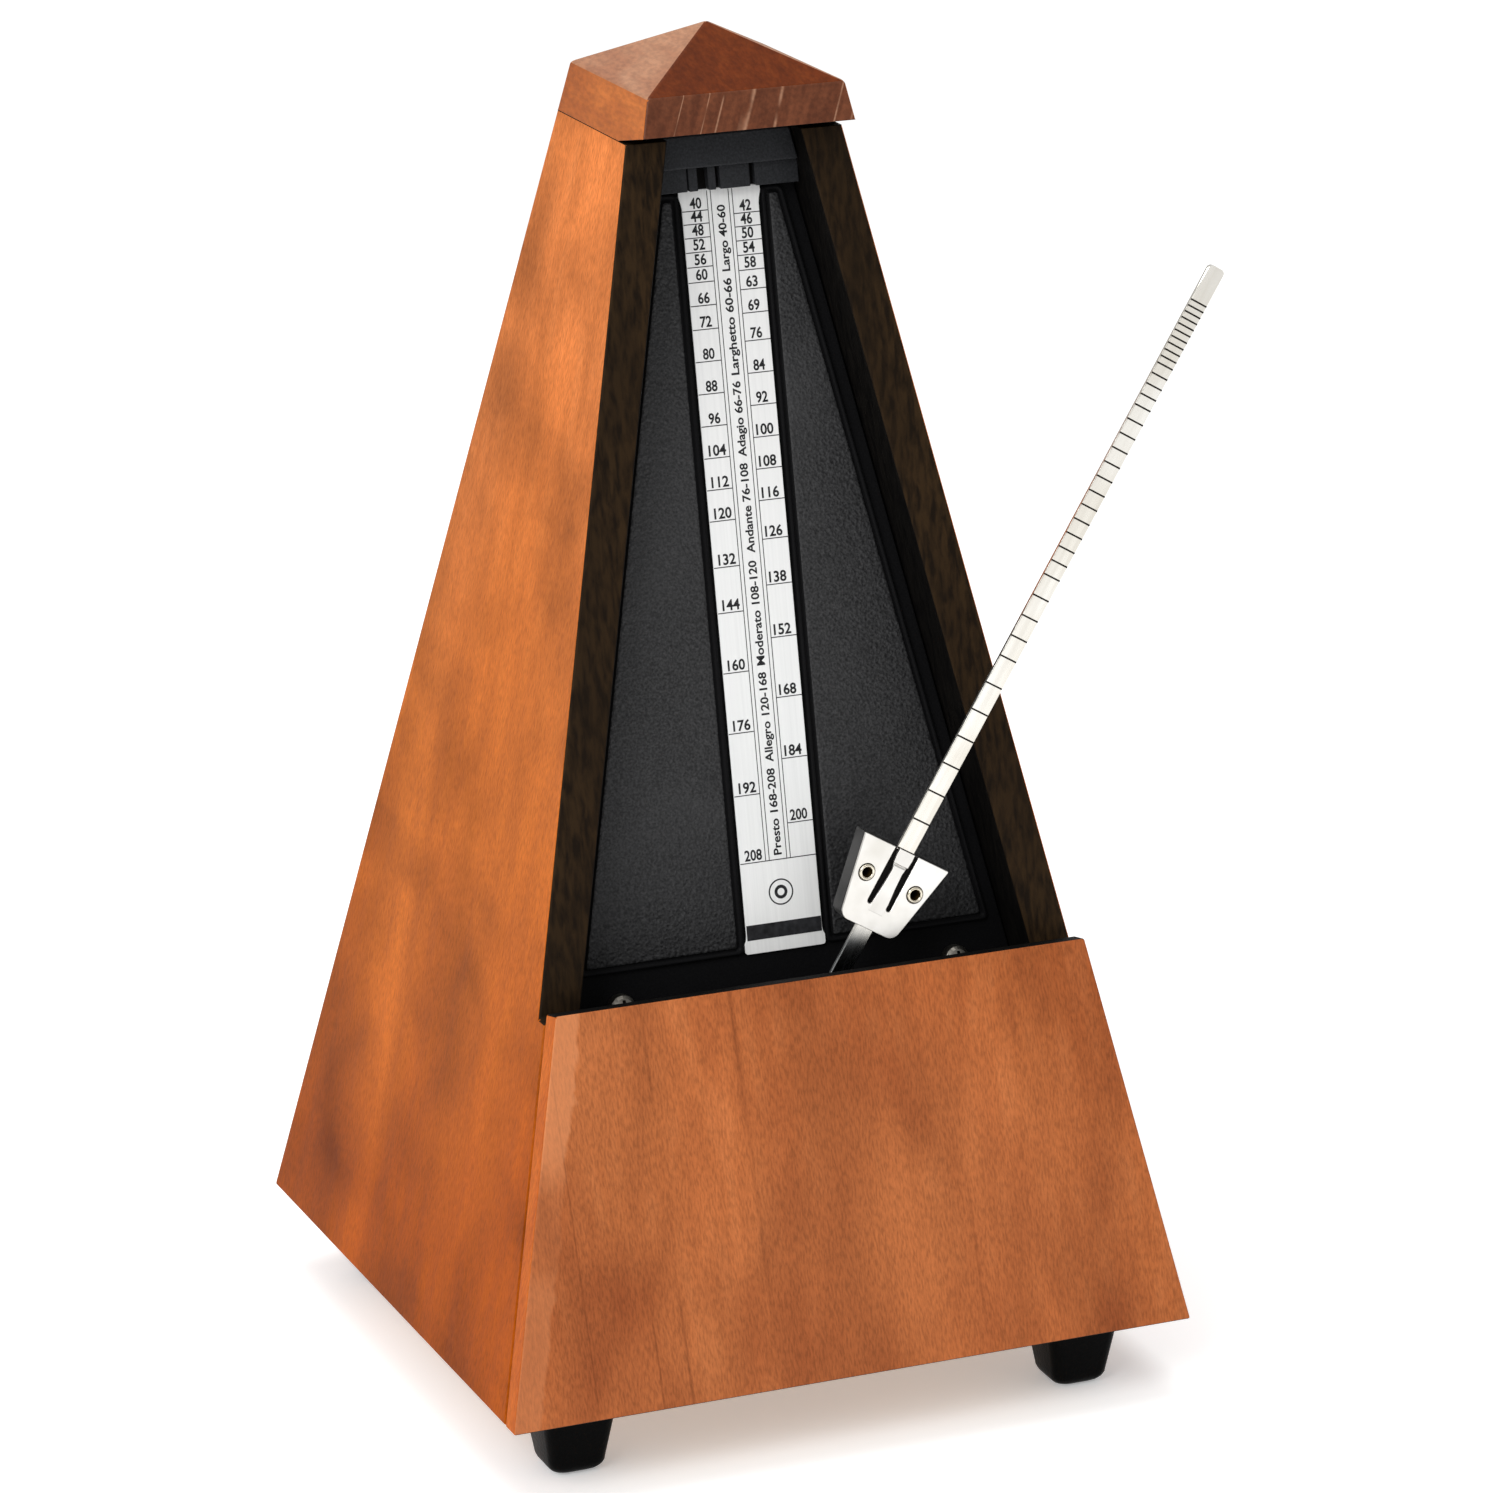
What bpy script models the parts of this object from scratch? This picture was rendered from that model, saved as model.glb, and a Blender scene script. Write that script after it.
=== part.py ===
"""Wind-up pyramid metronome as separate parts. Lengths are millimetres until a mesh is made."""

import math

import bpy
from mathutils import Vector

MM = 0.001
GAP = 0.3  # between neighbouring parts
THIN_GAP = 0.2  # between the small sheet parts of the sliding weight
SHARP_ANGLE = math.radians(30)

# Case: every side leans in by TAPER for each unit of height above the feet.
FOOT_HEIGHT = 13.0
HALF_BASE = 58.0
TAPER = 0.21
SLOPE = math.atan(TAPER)
WALL = 7.0
BACK_WALL = 5.0
BOARD = 6.0
PANEL_THICKNESS = 4.0
PANEL_TOP = 62.4
SLOT_BEHIND_PANEL = 2.5
SLOT_FLOOR = 59.9
SEAM = 189.7
CAP_FRONT_LIFT = 2.0
CAP_FRONT_DEPTH = 10.0
RIDGE = 197.7
APEX = 205.7
FOOT_OFFSET = 43.5
SCREW_R = 1.2
SCREW_HEAD_R = 2.4
SCREW_HEAD_RIM = 0.9
SCREW_HEAD_TOP = 1.5
SCREW_HEAD_TOP_R = 1.4
HOLE_R = 1.5
FOOT_SCREW_LENGTH = 14.0
FRAME_SCREW_LENGTH = 6.5
FOOT_HOLE_FLOOR = 4.0
CUT = 1.0  # how far a cutter reaches past what it cuts

# Foot, from the ground up: height, half width and corner radius.
FOOT_SECTIONS = ((0.0, 3.6, 1.0), (0.4, 4.3, 1.2), (1.5, 4.7, 1.4), (FOOT_HEIGHT - GAP, 6.5, 1.4))

# Dial: "along" runs up the slope from the case's lower edge, "recess" is the depth behind the front.
DIAL_LOW = 56.0
DIAL_HIGH = 184.0
DIAL_RECESS = 16.2
DIAL_THICKNESS = 2.5
DIAL_MARGIN = 7.3
PANEL_LOW = 63.4
PANEL_MARGIN = 9.6
PANEL_INNER = 7.0
PANEL_RECESS = 15.3
PANEL_BURIED = 17.2
STRIP_HALF = 6.5
STRIP_FLARE = 0.4
STRIP_CHAMFER = 0.4
STRIP_EAR = 1.6
STRIP_EAR_END = 2.4
STRIP_LOW = 63.3
STRIP_RECESS = 15.6
STRIP_THICKNESS = 0.3
DIAL_SCREW_X = 28.7
DIAL_SCREW_ALONG = 57.9
DIAL_HEAD_R = 2.2
DIAL_HEAD_HEIGHT = 2.7
DIAL_HEAD_FLAT = math.radians(25)  # half angle of the flat at the crown of the dome
DIAL_SCREW_LENGTH = 9.0
CROSS_LONG, CROSS_SHORT = 1.5, 0.3
CROSS_FLOOR = 1.5
CROSS_TAPER = 0.8  # the cross's width at its floor, as a share of its width outside the head
RAIL_INNER = 26.8
RAIL_LOW = 54.0
RAIL_HIGH = 66.0
RAIL_DEPTH = 9.0
CATCH_RECESS = 11.0
CATCH_LIP_RECESS = 13.0
CATCH_LIP = 188.3
CATCH_TOP = 193.5
CATCH_BACK_RECESS = 22.0
CATCH_SLOTS = ((-4.4, -2.7), (-1.35, -0.7), (4.4, 5.2))
CATCH_SLOT_DEPTH = 1.2
CATCH_SLOT_MARGIN = 0.4

# Pendulum: it swings about an axis along Y and stands tilted to the right at rest.
PIVOT_Y = -37.0
PIVOT_Z = 62.8
REST_TILT = math.radians(31.07)
ROD_TOP = 137.1
ROD_BOTTOM = -36.0
ROD_HALF = 1.6
ROD_HALF_THICKNESS = 0.35
ROD_CORNER = 0.9
NOTCH_DEPTH = 0.12
NOTCH_HALF = 0.16
ARBOR_R = 1.2
ARBOR_BACK = 35.0
SPIGOT_R = 0.8
SPIGOT_FRONT = -2.2
ARBOR_SHOULDER_R = 3.0
SHOULDER_FRONT, SHOULDER_BACK = 0.55, 2.0
NUT_R = 2.4
NUT_BORE = 1.15
NUT_FRONT, NUT_BACK = -1.9, -0.6
BOB_R = 10.0
BOB_HALF = 5.13  # this and BOB_BELOW are fitted so that a small swing keeps the time of the marks
BOB_CHAMFER = 0.8
BOB_BELOW = 30.77
PALLET_HUB_R = 2.3
PALLET_REACH = 4.0
PALLET_HALF = 0.8
PALLETS = (("pallet_front", 14.5, -0.5), ("pallet_back", 29.5, 0.5))  # place along the arbor, lean

# Places of the tempo marks, in beats per minute and millimetres along the rod. The formula has the form of
# a double-weighted pendulum's law, with gravity taken along the sloping scale. Its terms are fitted to
# the marks, not measured from a movement.
GRAVITY_MM = 9810.0
BALANCE_TERM = 135.51
INERTIA_TERM = 8766.4
WEIGHT_TOP_ABOVE_CENTRE = 6.42
LEFT_TEMPI = (40, 44, 48, 52, 56, 60, 66, 72, 80, 88, 96, 104, 112, 120, 132, 144, 160, 176, 192, 208)
RIGHT_TEMPI = (42, 46, 50, 54, 58, 63, 69, 76, 84, 92, 100, 108, 116, 126, 138, 152, 168, 184, 200)
REST_TEMPO = 200

# Sliding weight
WEIGHT_TOP_HALF = 8.3
WEIGHT_BOTTOM_HALF = 5.3
WEIGHT_LENGTH = 13.7
WEIGHT_CORNER = 1.4
PLATE_THICKNESS = 0.45
BLOCK_BACK = 2.6
SLOT_CENTRE = 1.85
SLOT_HALF = 0.35
SLOT_LENGTH = 9.9
EYELET_X = 4.8
EYELET_DOWN = 5.6
EYELET_R = 1.3
EYELET_BORE = 0.8
EYELET_BARREL = 1.05
EYELET_RIM = 0.25
EYELET_RIM_SIDE = 0.12

# Movement: the going train's arbors run along X, and each axis is a (y, z) point.
PLATE_OUTER = 26.0
PLATE_THICK = 1.5
FRAME_FRONT = -30.5
FRAME_BACK = 36.0
FRAME_TOP = 67.0
BARREL_AXIS = (13.0, 44.0)
ESCAPE_AXIS = (-15.0, PIVOT_Z)
GREAT_WHEEL_LEFT, GREAT_WHEEL_RIGHT = -4.0, -2.8
FIRST_PINION_SPAN = (-6.0, -1.0)
MIDDLE_WHEEL_LEFT, MIDDLE_WHEEL_RIGHT = -18.5, -17.5
MIDDLE_ARBOR_R = 1.2
LAST_PINION_SPAN = (-20.0, -16.0)
ESCAPE_ARBOR_R = 0.9
ESCAPE_ARBOR_RIGHT = -8.0
GREAT_TEETH, FIRST_PINION = 60, 10
MIDDLE_TEETH, LAST_PINION = 48, 8
GREAT_MODULE = 0.7
MIDDLE_MODULE = 0.5
TIP_SHARE = 0.2
WHEEL_ROOT_SHARE, PINION_ROOT_SHARE = 0.52, 0.5
ADDENDUM, DEDENDUM = 0.75, 1.0
CROWN_TEETH = 15
CROWN_R, CROWN_BORE_R = 8.0, 6.8
CROWN_LEFT, CROWN_DISC = -10.0, -9.0
CROWN_VALLEY, CROWN_TIP = -7.2, -4.5
CROWN_PROFILE = ((0.0, CROWN_VALLEY), (0.1, CROWN_TIP), (0.22, CROWN_TIP), (0.6, CROWN_VALLEY))
RATCHET_TEETH = 24
RATCHET_TIP_R, RATCHET_ROOT_R = 9.0, 7.6
RATCHET_LEAN = 0.12
RATCHET_LEFT, RATCHET_RIGHT = 27.0, 28.5
DRUM_R = 17.0
DRUM_LEFT, DRUM_RIGHT = -2.0, 14.0
DRUM_WALL = 1.2
WINDING_R = 2.0
CORE_R = 3.2
LID_THICKNESS = 1.0
SPRING_TURNS = 6
SPRING_OFF_CORE = 1.0
SPRING_HALF = 0.25
WINDING_END = 61.0
KEY_LEFT, KEY_RIGHT = 54.0, 63.5
KEY_HUB_R = 3.5
KEY_WING = 9.5
KEY_WING_HALF = 0.8
BUSH_R = 4.8
BUSH_LEFT, BUSH_RIGHT = 43.5, 53.3
CLICK_PIVOT = (22.0, 56.0)
CLICK_BOSS_R = 2.4
CLICK_LENGTH = 6.4
CLICK_HALF = 0.5
CLICK_LEAN = math.radians(26)
CLICK_BOSS_START, CLICK_BOSS_TURN = math.radians(70), math.radians(220)
CLICK_SCREW = ((SCREW_R, 24.0), (SCREW_R, 28.8), (2.2, 28.8), (2.2, 29.7), (1.4, 30.2))
CLICK_SPRING_START, CLICK_SPRING_REACH = (16.5, 58.4), (13.5, 5.0)
CLICK_SPRING_LEFT, CLICK_SPRING_RIGHT = 26.3, 28.3
PILLARS = ((33.0, 60.0), (-26.0, 44.0))
PILLAR_R = 2.0
BRIDGES = (("front_bridge", -30.2, 58.0), ("back_bridge", -4.6, 60.5))  # front face, lower edge
BRIDGE_THICKNESS = 1.2
COCK_LEFT, COCK_RIGHT = -12.7, -11.5
COCK_BOTTOM = 56.0
COCK_FRONT, COCK_BACK = -21.0, -9.0
FRAME_SCREWS = ((-18.0, -24.0), (18.0, -24.0), (-18.0, 28.0), (18.0, 28.0))

AXIS_X = (Vector((0, 1, 0)), Vector((0, 0, 1)), Vector((1, 0, 0)))
AXIS_Y = (Vector((0, 0, 1)), Vector((1, 0, 0)), Vector((0, 1, 0)))
AXIS_Z = (Vector((1, 0, 0)), Vector((0, 1, 0)), Vector((0, 0, 1)))
DIAL_IN = Vector((0, math.cos(SLOPE), -math.sin(SLOPE)))
AXIS_DIAL = (Vector((1, 0, 0)), DIAL_IN.cross(Vector((1, 0, 0))), DIAL_IN)

LOOKS = {
    "wood": ((0.45, 0.16, 0.06), 0.45, 0.0),
    "cap_wood": ((0.22, 0.07, 0.03), 0.45, 0.0),
    "raw_wood": ((0.55, 0.40, 0.24), 0.7, 0.0),
    "plastic": ((0.02, 0.022, 0.025), 0.5, 0.0),
    "nickel": ((0.75, 0.74, 0.72), 0.25, 1.0),
    "steel": ((0.5, 0.5, 0.5), 0.35, 1.0),
    "brass": ((0.75, 0.55, 0.25), 0.3, 1.0),
    "scale": ((0.8, 0.79, 0.76), 0.3, 0.9),
}


def clear_scene():
    for obj in list(bpy.data.objects):
        bpy.data.objects.remove(obj, do_unlink=True)


def add_material(name, look):
    colour, roughness, metallic = LOOKS[look]
    made = bpy.data.materials.new(name + "_" + look)
    made.use_nodes = True
    shader = made.node_tree.nodes["Principled BSDF"]
    shader.inputs["Base Color"].default_value = (*colour, 1.0)
    shader.inputs["Roughness"].default_value = roughness
    shader.inputs["Metallic"].default_value = metallic
    return made


def add_mesh(name, points, faces, look, parent=None):
    """An object from points in millimetres. Its outside is found from the closed shape."""
    mesh = bpy.data.meshes.new(name)
    mesh.from_pydata([Vector(point) * MM for point in points], [], faces)
    if signed_volume(mesh) < 0:
        mesh.flip_normals()
    obj = bpy.data.objects.new(name, mesh)
    bpy.context.scene.collection.objects.link(obj)
    if look:
        mesh.materials.append(add_material(name, look))
    mesh.shade_smooth()
    mesh.set_sharp_from_angle(angle=SHARP_ANGLE)
    obj.parent = parent
    return obj


def signed_volume(mesh):
    mesh.calc_loop_triangles()
    points = [vertex.co for vertex in mesh.vertices]
    corners = (triangle.vertices for triangle in mesh.loop_triangles)
    return sum(points[a].dot(points[b].cross(points[c])) for a, b, c in corners)


def loft_faces(count, size, closed, start=0):
    """Faces joining `count` loops of `size` points, with flat ends unless it closes on itself."""
    faces = []
    spans = count if closed else count - 1
    for i in range(spans):
        low = start + i * size
        high = start + (i + 1) % count * size
        for j in range(size):
            k = (j + 1) % size
            faces.append((low + j, low + k, high + k, high + j))
    if not closed:
        faces.append(tuple(start + j for j in reversed(range(size))))
        faces.append(tuple(start + (count - 1) * size + j for j in range(size)))
    return faces


def loft(name, loops, look, parent=None, closed=False):
    points = [point for loop in loops for point in loop]
    return add_mesh(name, points, loft_faces(len(loops), len(loops[0]), closed), look, parent)


def place(centre, axis, across, up, along):
    u, v, w = axis
    return Vector(centre) + u * across + v * up + w * along


def polar(centre, axis, radius, angle, along):
    return place(centre, axis, radius * math.cos(angle), radius * math.sin(angle), along)


def full_turn(steps):
    return [2 * math.pi * i / steps for i in range(steps)]


def rod_loops(centre, axis, stations, steps=20):
    """Circles of (radius, along) for a solid turned piece."""
    return [[polar(centre, axis, r, a, along) for a in full_turn(steps)] for r, along in stations]


def turned(name, centre, axis, stations, look, parent=None, steps=20):
    return loft(name, rod_loops(centre, axis, stations, steps), look, parent)


def turned_ring(name, centre, axis, profile, look, parent=None, steps=32):
    """A turned piece with a bore, from a closed profile of (radius, along)."""
    loops = [[polar(centre, axis, r, a, along) for r, along in profile] for a in full_turn(steps)]
    return loft(name, loops, look, parent, closed=True)


def edged_ring(name, centre, axis, edge, bore, low, high, look, parent=None):
    """A flat ring whose outer edge is a list of (angle, radius)."""
    loops = []
    for angle, radius in edge:
        profile = ((bore, low), (radius, low), (radius, high), (bore, high))
        loops.append([polar(centre, axis, r, angle, along) for r, along in profile])
    return loft(name, loops, look, parent, closed=True)


def block(name, low, high, look, parent=None):
    loops = []
    for z in (low[2], high[2]):
        loops.append([(low[0], low[1], z), (high[0], low[1], z), (high[0], high[1], z), (low[0], high[1], z)])
    return loft(name, loops, look, parent)


def cylinders(name, holes, axis, steps=20):
    """One hidden cutter holding a cylinder for each (centre, radius, low, high)."""
    points = []
    faces = []
    for centre, radius, low, high in holes:
        loops = rod_loops(centre, axis, ((radius, low), (radius, high)), steps)
        faces += loft_faces(2, steps, False, len(points))
        points += loops[0] + loops[1]
    return hide(add_mesh(name, points, faces, None))


def hide(obj):
    obj.hide_render = True
    obj.display_type = "WIRE"
    return obj


def combine(obj, other, operation):
    modifier = obj.modifiers.new(operation.lower(), "BOOLEAN")
    modifier.operation = operation
    modifier.solver = "EXACT"
    modifier.object = other


def case_point(side, recess, height, inset=0.0):
    x = side * (HALF_BASE - TAPER * height - inset)
    return (x, -HALF_BASE + recess + TAPER * height, FOOT_HEIGHT + height)


def back_point(side, depth, height, inset):
    x = side * (HALF_BASE - TAPER * height - inset)
    return (x, HALF_BASE - depth - TAPER * height, FOOT_HEIGHT + height)


def dial_point(x, along, recess):
    height = along * math.cos(SLOPE)
    return (x, -HALF_BASE + recess + TAPER * height, FOOT_HEIGHT + height)


def half_width(along, margin):
    return HALF_BASE - TAPER * along * math.cos(SLOPE) - margin


def side_wall(name, side):
    front = PANEL_THICKNESS + GAP
    back = front + SLOT_BEHIND_PANEL
    loops = []
    for inset in (0.0, WALL):
        loops.append([
            case_point(side, front, 0.0, inset),
            case_point(side, front, SLOT_FLOOR, inset),
            case_point(side, back, SLOT_FLOOR, inset),
            case_point(side, back, SEAM, inset),
            back_point(side, 0.0, SEAM, inset),
            back_point(side, 0.0, 0.0, inset),
        ])
    return loft(name, loops, "wood")


def between_walls_slab(name, corners, look):
    """A slab whose side view is a list of (recess, height), reaching from wall to wall."""
    inset = WALL + GAP
    loops = [[case_point(side, recess, height, inset) for recess, height in corners] for side in (-1, 1)]
    return loft(name, loops, look)


def back_wall():
    inset = WALL + GAP
    loops = []
    for height in (0.0, SEAM):
        loops.append([
            back_point(-1, 0.0, height, inset),
            back_point(1, 0.0, height, inset),
            back_point(1, BACK_WALL, height, inset),
            back_point(-1, BACK_WALL, height, inset),
        ])
    return loft("back_wall", loops, "wood")


def front_panel():
    back_top = PANEL_TOP - PANEL_THICKNESS * TAPER
    corners = ((0.0, 0.0), (0.0, PANEL_TOP), (PANEL_THICKNESS, back_top), (PANEL_THICKNESS, 0.0))
    loops = [[case_point(side, recess, height) for recess, height in corners] for side in (-1, 1)]
    return loft("front_panel", loops, "wood")


def top_cap():
    under = SEAM + GAP
    front = under + CAP_FRONT_LIFT
    points = []
    for side in (-1, 1):
        points.append(back_point(side, 0.0, under, 0.0))
        points.append(case_point(side, CAP_FRONT_DEPTH, under))
        points.append(case_point(side, 0.0, front))
        points.append(case_point(side, 0.0, RIDGE))
        points.append(back_point(side, 0.0, RIDGE, 0.0))
    points.append((0.0, 0.0, FOOT_HEIGHT + APEX))
    faces = [
        (0, 1, 2, 3, 4),
        (9, 8, 7, 6, 5),
        (0, 5, 6, 1),
        (1, 6, 7, 2),
        (2, 7, 8, 3),
        (4, 9, 5, 0),
        (3, 8, 10),
        (8, 9, 10),
        (9, 4, 10),
        (4, 3, 10),
    ]
    return add_mesh("top_cap", points, faces, "cap_wood")


def base_board():
    front = PANEL_THICKNESS + GAP
    depth = BACK_WALL + GAP
    inset = WALL + GAP
    loops = []
    for height in (0.0, BOARD):
        loops.append([
            case_point(-1, front, height, inset),
            case_point(1, front, height, inset),
            back_point(1, depth, height, inset),
            back_point(-1, depth, height, inset),
        ])
    board = loft("base_board", loops, "raw_wood")
    spots = foot_spots() + list(FRAME_SCREWS)
    holes = [((x, y, 0), HOLE_R, FOOT_HEIGHT - CUT, FOOT_HEIGHT + BOARD + CUT) for x, y in spots]
    combine(board, cylinders("board_holes", holes, AXIS_Z), "DIFFERENCE")


def foot_spots():
    return [(x, y) for y in (-FOOT_OFFSET, FOOT_OFFSET) for x in (-FOOT_OFFSET, FOOT_OFFSET)]


def rounded_square(centre, half, corner, z):
    loop = []
    for quarter in range(4):
        turn = quarter * math.pi / 2
        for step in range(4):
            angle = turn + step * math.pi / 6
            middle = turn + math.pi / 4
            reach = (half - corner) * math.sqrt(2)
            x = centre[0] + reach * math.cos(middle) + corner * math.cos(angle)
            y = centre[1] + reach * math.sin(middle) + corner * math.sin(angle)
            loop.append((x, y, z))
    return loop


def feet():
    names = ("front_left", "front_right", "back_left", "back_right")
    for name, spot in zip(names, foot_spots()):
        loops = [rounded_square(spot, half, corner, height) for height, half, corner in FOOT_SECTIONS]
        foot = loft("foot_" + name, loops, "plastic")
        hole = ((*spot, 0), HOLE_R, FOOT_HOLE_FLOOR, FOOT_HEIGHT + CUT)
        combine(foot, cylinders("foot_hole_" + name, [hole], AXIS_Z), "DIFFERENCE")
        wood_screw("foot_screw_" + name, (*spot, FOOT_HEIGHT + BOARD + GAP), FOOT_SCREW_LENGTH)


def wood_screw(name, seat, length):
    """A screw standing head up, with the underside of its head at seat."""
    stations = (
        (SCREW_R, -length),
        (SCREW_R, 0.0),
        (SCREW_HEAD_R, 0.0),
        (SCREW_HEAD_R, SCREW_HEAD_RIM),
        (SCREW_HEAD_TOP_R, SCREW_HEAD_TOP),
    )
    return turned(name, seat, AXIS_Z, stations, "steel")


def dial_plate():
    back = DIAL_RECESS + DIAL_THICKNESS
    plate = dial_slab("dial_plate", DIAL_LOW, DIAL_HIGH, None, DIAL_MARGIN, DIAL_RECESS, back, "plastic")
    for side in (-1, 1):
        name = "dial_relief_" + ("left" if side < 0 else "right")
        high = DIAL_HIGH - GAP
        inner = side * PANEL_INNER
        relief = dial_slab(name, PANEL_LOW, high, inner, PANEL_MARGIN, PANEL_RECESS, PANEL_BURIED, None)
        combine(plate, hide(relief), "UNION")
    spots = [dial_point(side * DIAL_SCREW_X, DIAL_SCREW_ALONG, DIAL_RECESS) for side in (-1, 1)]
    through = DIAL_THICKNESS + CUT
    holes = cylinders("dial_holes", [(spot, HOLE_R, -CUT, through) for spot in spots], AXIS_DIAL)
    combine(plate, holes, "DIFFERENCE")


def dial_slab(name, low, high, inner, margin, front, back, look):
    """A slab on the dial. Without an inner edge it reaches the same way on both sides."""
    loops = []
    for recess in (front, back):
        side = -1 if inner is None or inner < 0 else 1
        low_outer = side * half_width(low, margin)
        high_outer = side * half_width(high, margin)
        low_inner = -low_outer if inner is None else inner
        high_inner = -high_outer if inner is None else inner
        corners = ((low_outer, low), (low_inner, low), (high_inner, high), (high_outer, high))
        loops.append([dial_point(x, along, recess) for x, along in corners])
    return loft(name, loops, look)


def scale_strip():
    wide = STRIP_HALF + STRIP_FLARE
    ear = ((wide - STRIP_CHAMFER, 0.0), (wide, STRIP_CHAMFER), (wide, STRIP_EAR), (STRIP_HALF, STRIP_EAR_END))
    right = [(x, STRIP_LOW + along) for x, along in ear]
    right += [(x, DIAL_HIGH - along) for x, along in reversed(ear)]
    outline = right + [(-x, along) for x, along in reversed(right)]
    loops = [
        [dial_point(x, along, recess) for x, along in outline]
        for recess in (STRIP_RECESS, STRIP_RECESS + STRIP_THICKNESS)
    ]
    return loft("scale_strip", loops, "scale")


def pendulum_catch():
    low = DIAL_HIGH + GAP
    scale = math.cos(SLOPE)
    corners = (
        (CATCH_LIP_RECESS, low * scale),
        (CATCH_LIP_RECESS, CATCH_LIP * scale),
        (CATCH_RECESS, CATCH_LIP * scale),
        (CATCH_RECESS, CATCH_TOP * scale),
        (CATCH_BACK_RECESS, CATCH_TOP * scale),
        (CATCH_BACK_RECESS, low * scale),
    )
    catch = between_walls_slab("pendulum_catch", corners, "plastic")
    bottom, top = low - CUT, CATCH_LIP - CATCH_SLOT_MARGIN
    for number, (left, right) in enumerate(CATCH_SLOTS, 1):
        loops = []
        for recess in (CATCH_LIP_RECESS - CUT, CATCH_LIP_RECESS + CATCH_SLOT_DEPTH):
            spots = ((left, bottom), (right, bottom), (right, top), (left, top))
            loops.append([dial_point(x, along, recess) for x, along in spots])
        combine(catch, hide(loft(f"catch_slot_{number}", loops, None)), "DIFFERENCE")


def dial_fixings():
    for side, name in ((-1, "left"), (1, "right")):
        front = DIAL_RECESS + DIAL_THICKNESS + GAP
        loops = []
        for recess in (front, front + RAIL_DEPTH):
            loop = []
            for along in (RAIL_LOW, RAIL_HIGH):
                edges = (side * RAIL_INNER, side * half_width(along, WALL + GAP))
                loop += [(x, along) for x in (edges if along == RAIL_LOW else edges[::-1])]
            loops.append([dial_point(x, along, recess) for x, along in loop])
        rail = loft("dial_rail_" + name, loops, "raw_wood")
        spot = dial_point(side * DIAL_SCREW_X, DIAL_SCREW_ALONG, DIAL_RECESS)
        bore = (spot, HOLE_R, DIAL_THICKNESS, DIAL_SCREW_LENGTH + CUT)
        hole = cylinders("rail_hole_" + name, [bore], AXIS_DIAL)
        combine(rail, hole, "DIFFERENCE")
        dial_screw("dial_screw_" + name, spot)


def dial_screw(name, spot):
    half = (DIAL_HEAD_HEIGHT - GAP) / 2
    dome = half / math.cos(DIAL_HEAD_FLAT)
    stations = []
    for step in range(4):
        turn = DIAL_HEAD_FLAT + (math.pi / 2 - DIAL_HEAD_FLAT) * step / 3
        stations.append((DIAL_HEAD_R * math.sin(turn), -GAP - half - dome * math.cos(turn)))
    stations += [(DIAL_HEAD_R, -GAP), (SCREW_R, -GAP), (SCREW_R, DIAL_SCREW_LENGTH)]
    screw = turned(name, spot, AXIS_DIAL, stations, "nickel", steps=24)
    for number, (across, up) in enumerate(((CROSS_LONG, CROSS_SHORT), (CROSS_SHORT, CROSS_LONG)), 1):
        loops = []
        for along, size in ((-DIAL_HEAD_HEIGHT - CUT, 1.0), (-CROSS_FLOOR, CROSS_TAPER)):
            corners = ((-across, -up), (across, -up), (across, up), (-across, up))
            loops.append([place(spot, AXIS_DIAL, x * size, y * size, along) for x, y in corners])
        combine(screw, hide(loft(f"{name}_cross_{number}", loops, None)), "DIFFERENCE")


def weight_centre(tempo):
    """How far the sliding weight's centre of mass is above the pivot at a tempo."""
    half_beat = 60.0 / (math.pi * tempo)
    stiffness = GRAVITY_MM * math.cos(SLOPE) * half_beat**2
    root = math.sqrt(stiffness**2 + 4 * (stiffness * BALANCE_TERM - INERTIA_TERM))
    return (root - stiffness) / 2


def notch_radius(tempo):
    return weight_centre(tempo) + WEIGHT_TOP_ABOVE_CENTRE


def pendulum_rod(pivot):
    marks = sorted(notch_radius(tempo) for tempo in LEFT_TEMPI + RIGHT_TEMPI)
    columns = []
    for step in range(5):
        turn = step * math.pi / 8
        columns.append((ROD_HALF - ROD_CORNER + ROD_CORNER * math.sin(turn), ROD_CORNER * math.cos(turn)))
    rights = [(x, ROD_TOP - ROD_CORNER + rise) for x, rise in columns]
    stations = [(-x, top) for x, top in reversed(rights)] + rights
    loops = []
    for x, top in stations:
        loop = [(x, ROD_HALF_THICKNESS, ROD_BOTTOM), (x, -ROD_HALF_THICKNESS, ROD_BOTTOM)]
        for mark in marks:
            loop.append((x, -ROD_HALF_THICKNESS, mark - NOTCH_HALF))
            loop.append((x, -ROD_HALF_THICKNESS + NOTCH_DEPTH, mark))
            loop.append((x, -ROD_HALF_THICKNESS, mark + NOTCH_HALF))
        loop += [(x, -ROD_HALF_THICKNESS, top), (x, ROD_HALF_THICKNESS, top)]
        loops.append(loop)
    rod = loft("pendulum_rod", loops, "nickel", pivot)
    through = ROD_HALF_THICKNESS + CUT
    hole = cylinders("rod_hole", [((0, 0, 0), SPIGOT_R + GAP, -through, through)], AXIS_Y)
    hole.parent = pivot
    combine(rod, hole, "DIFFERENCE")


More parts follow.
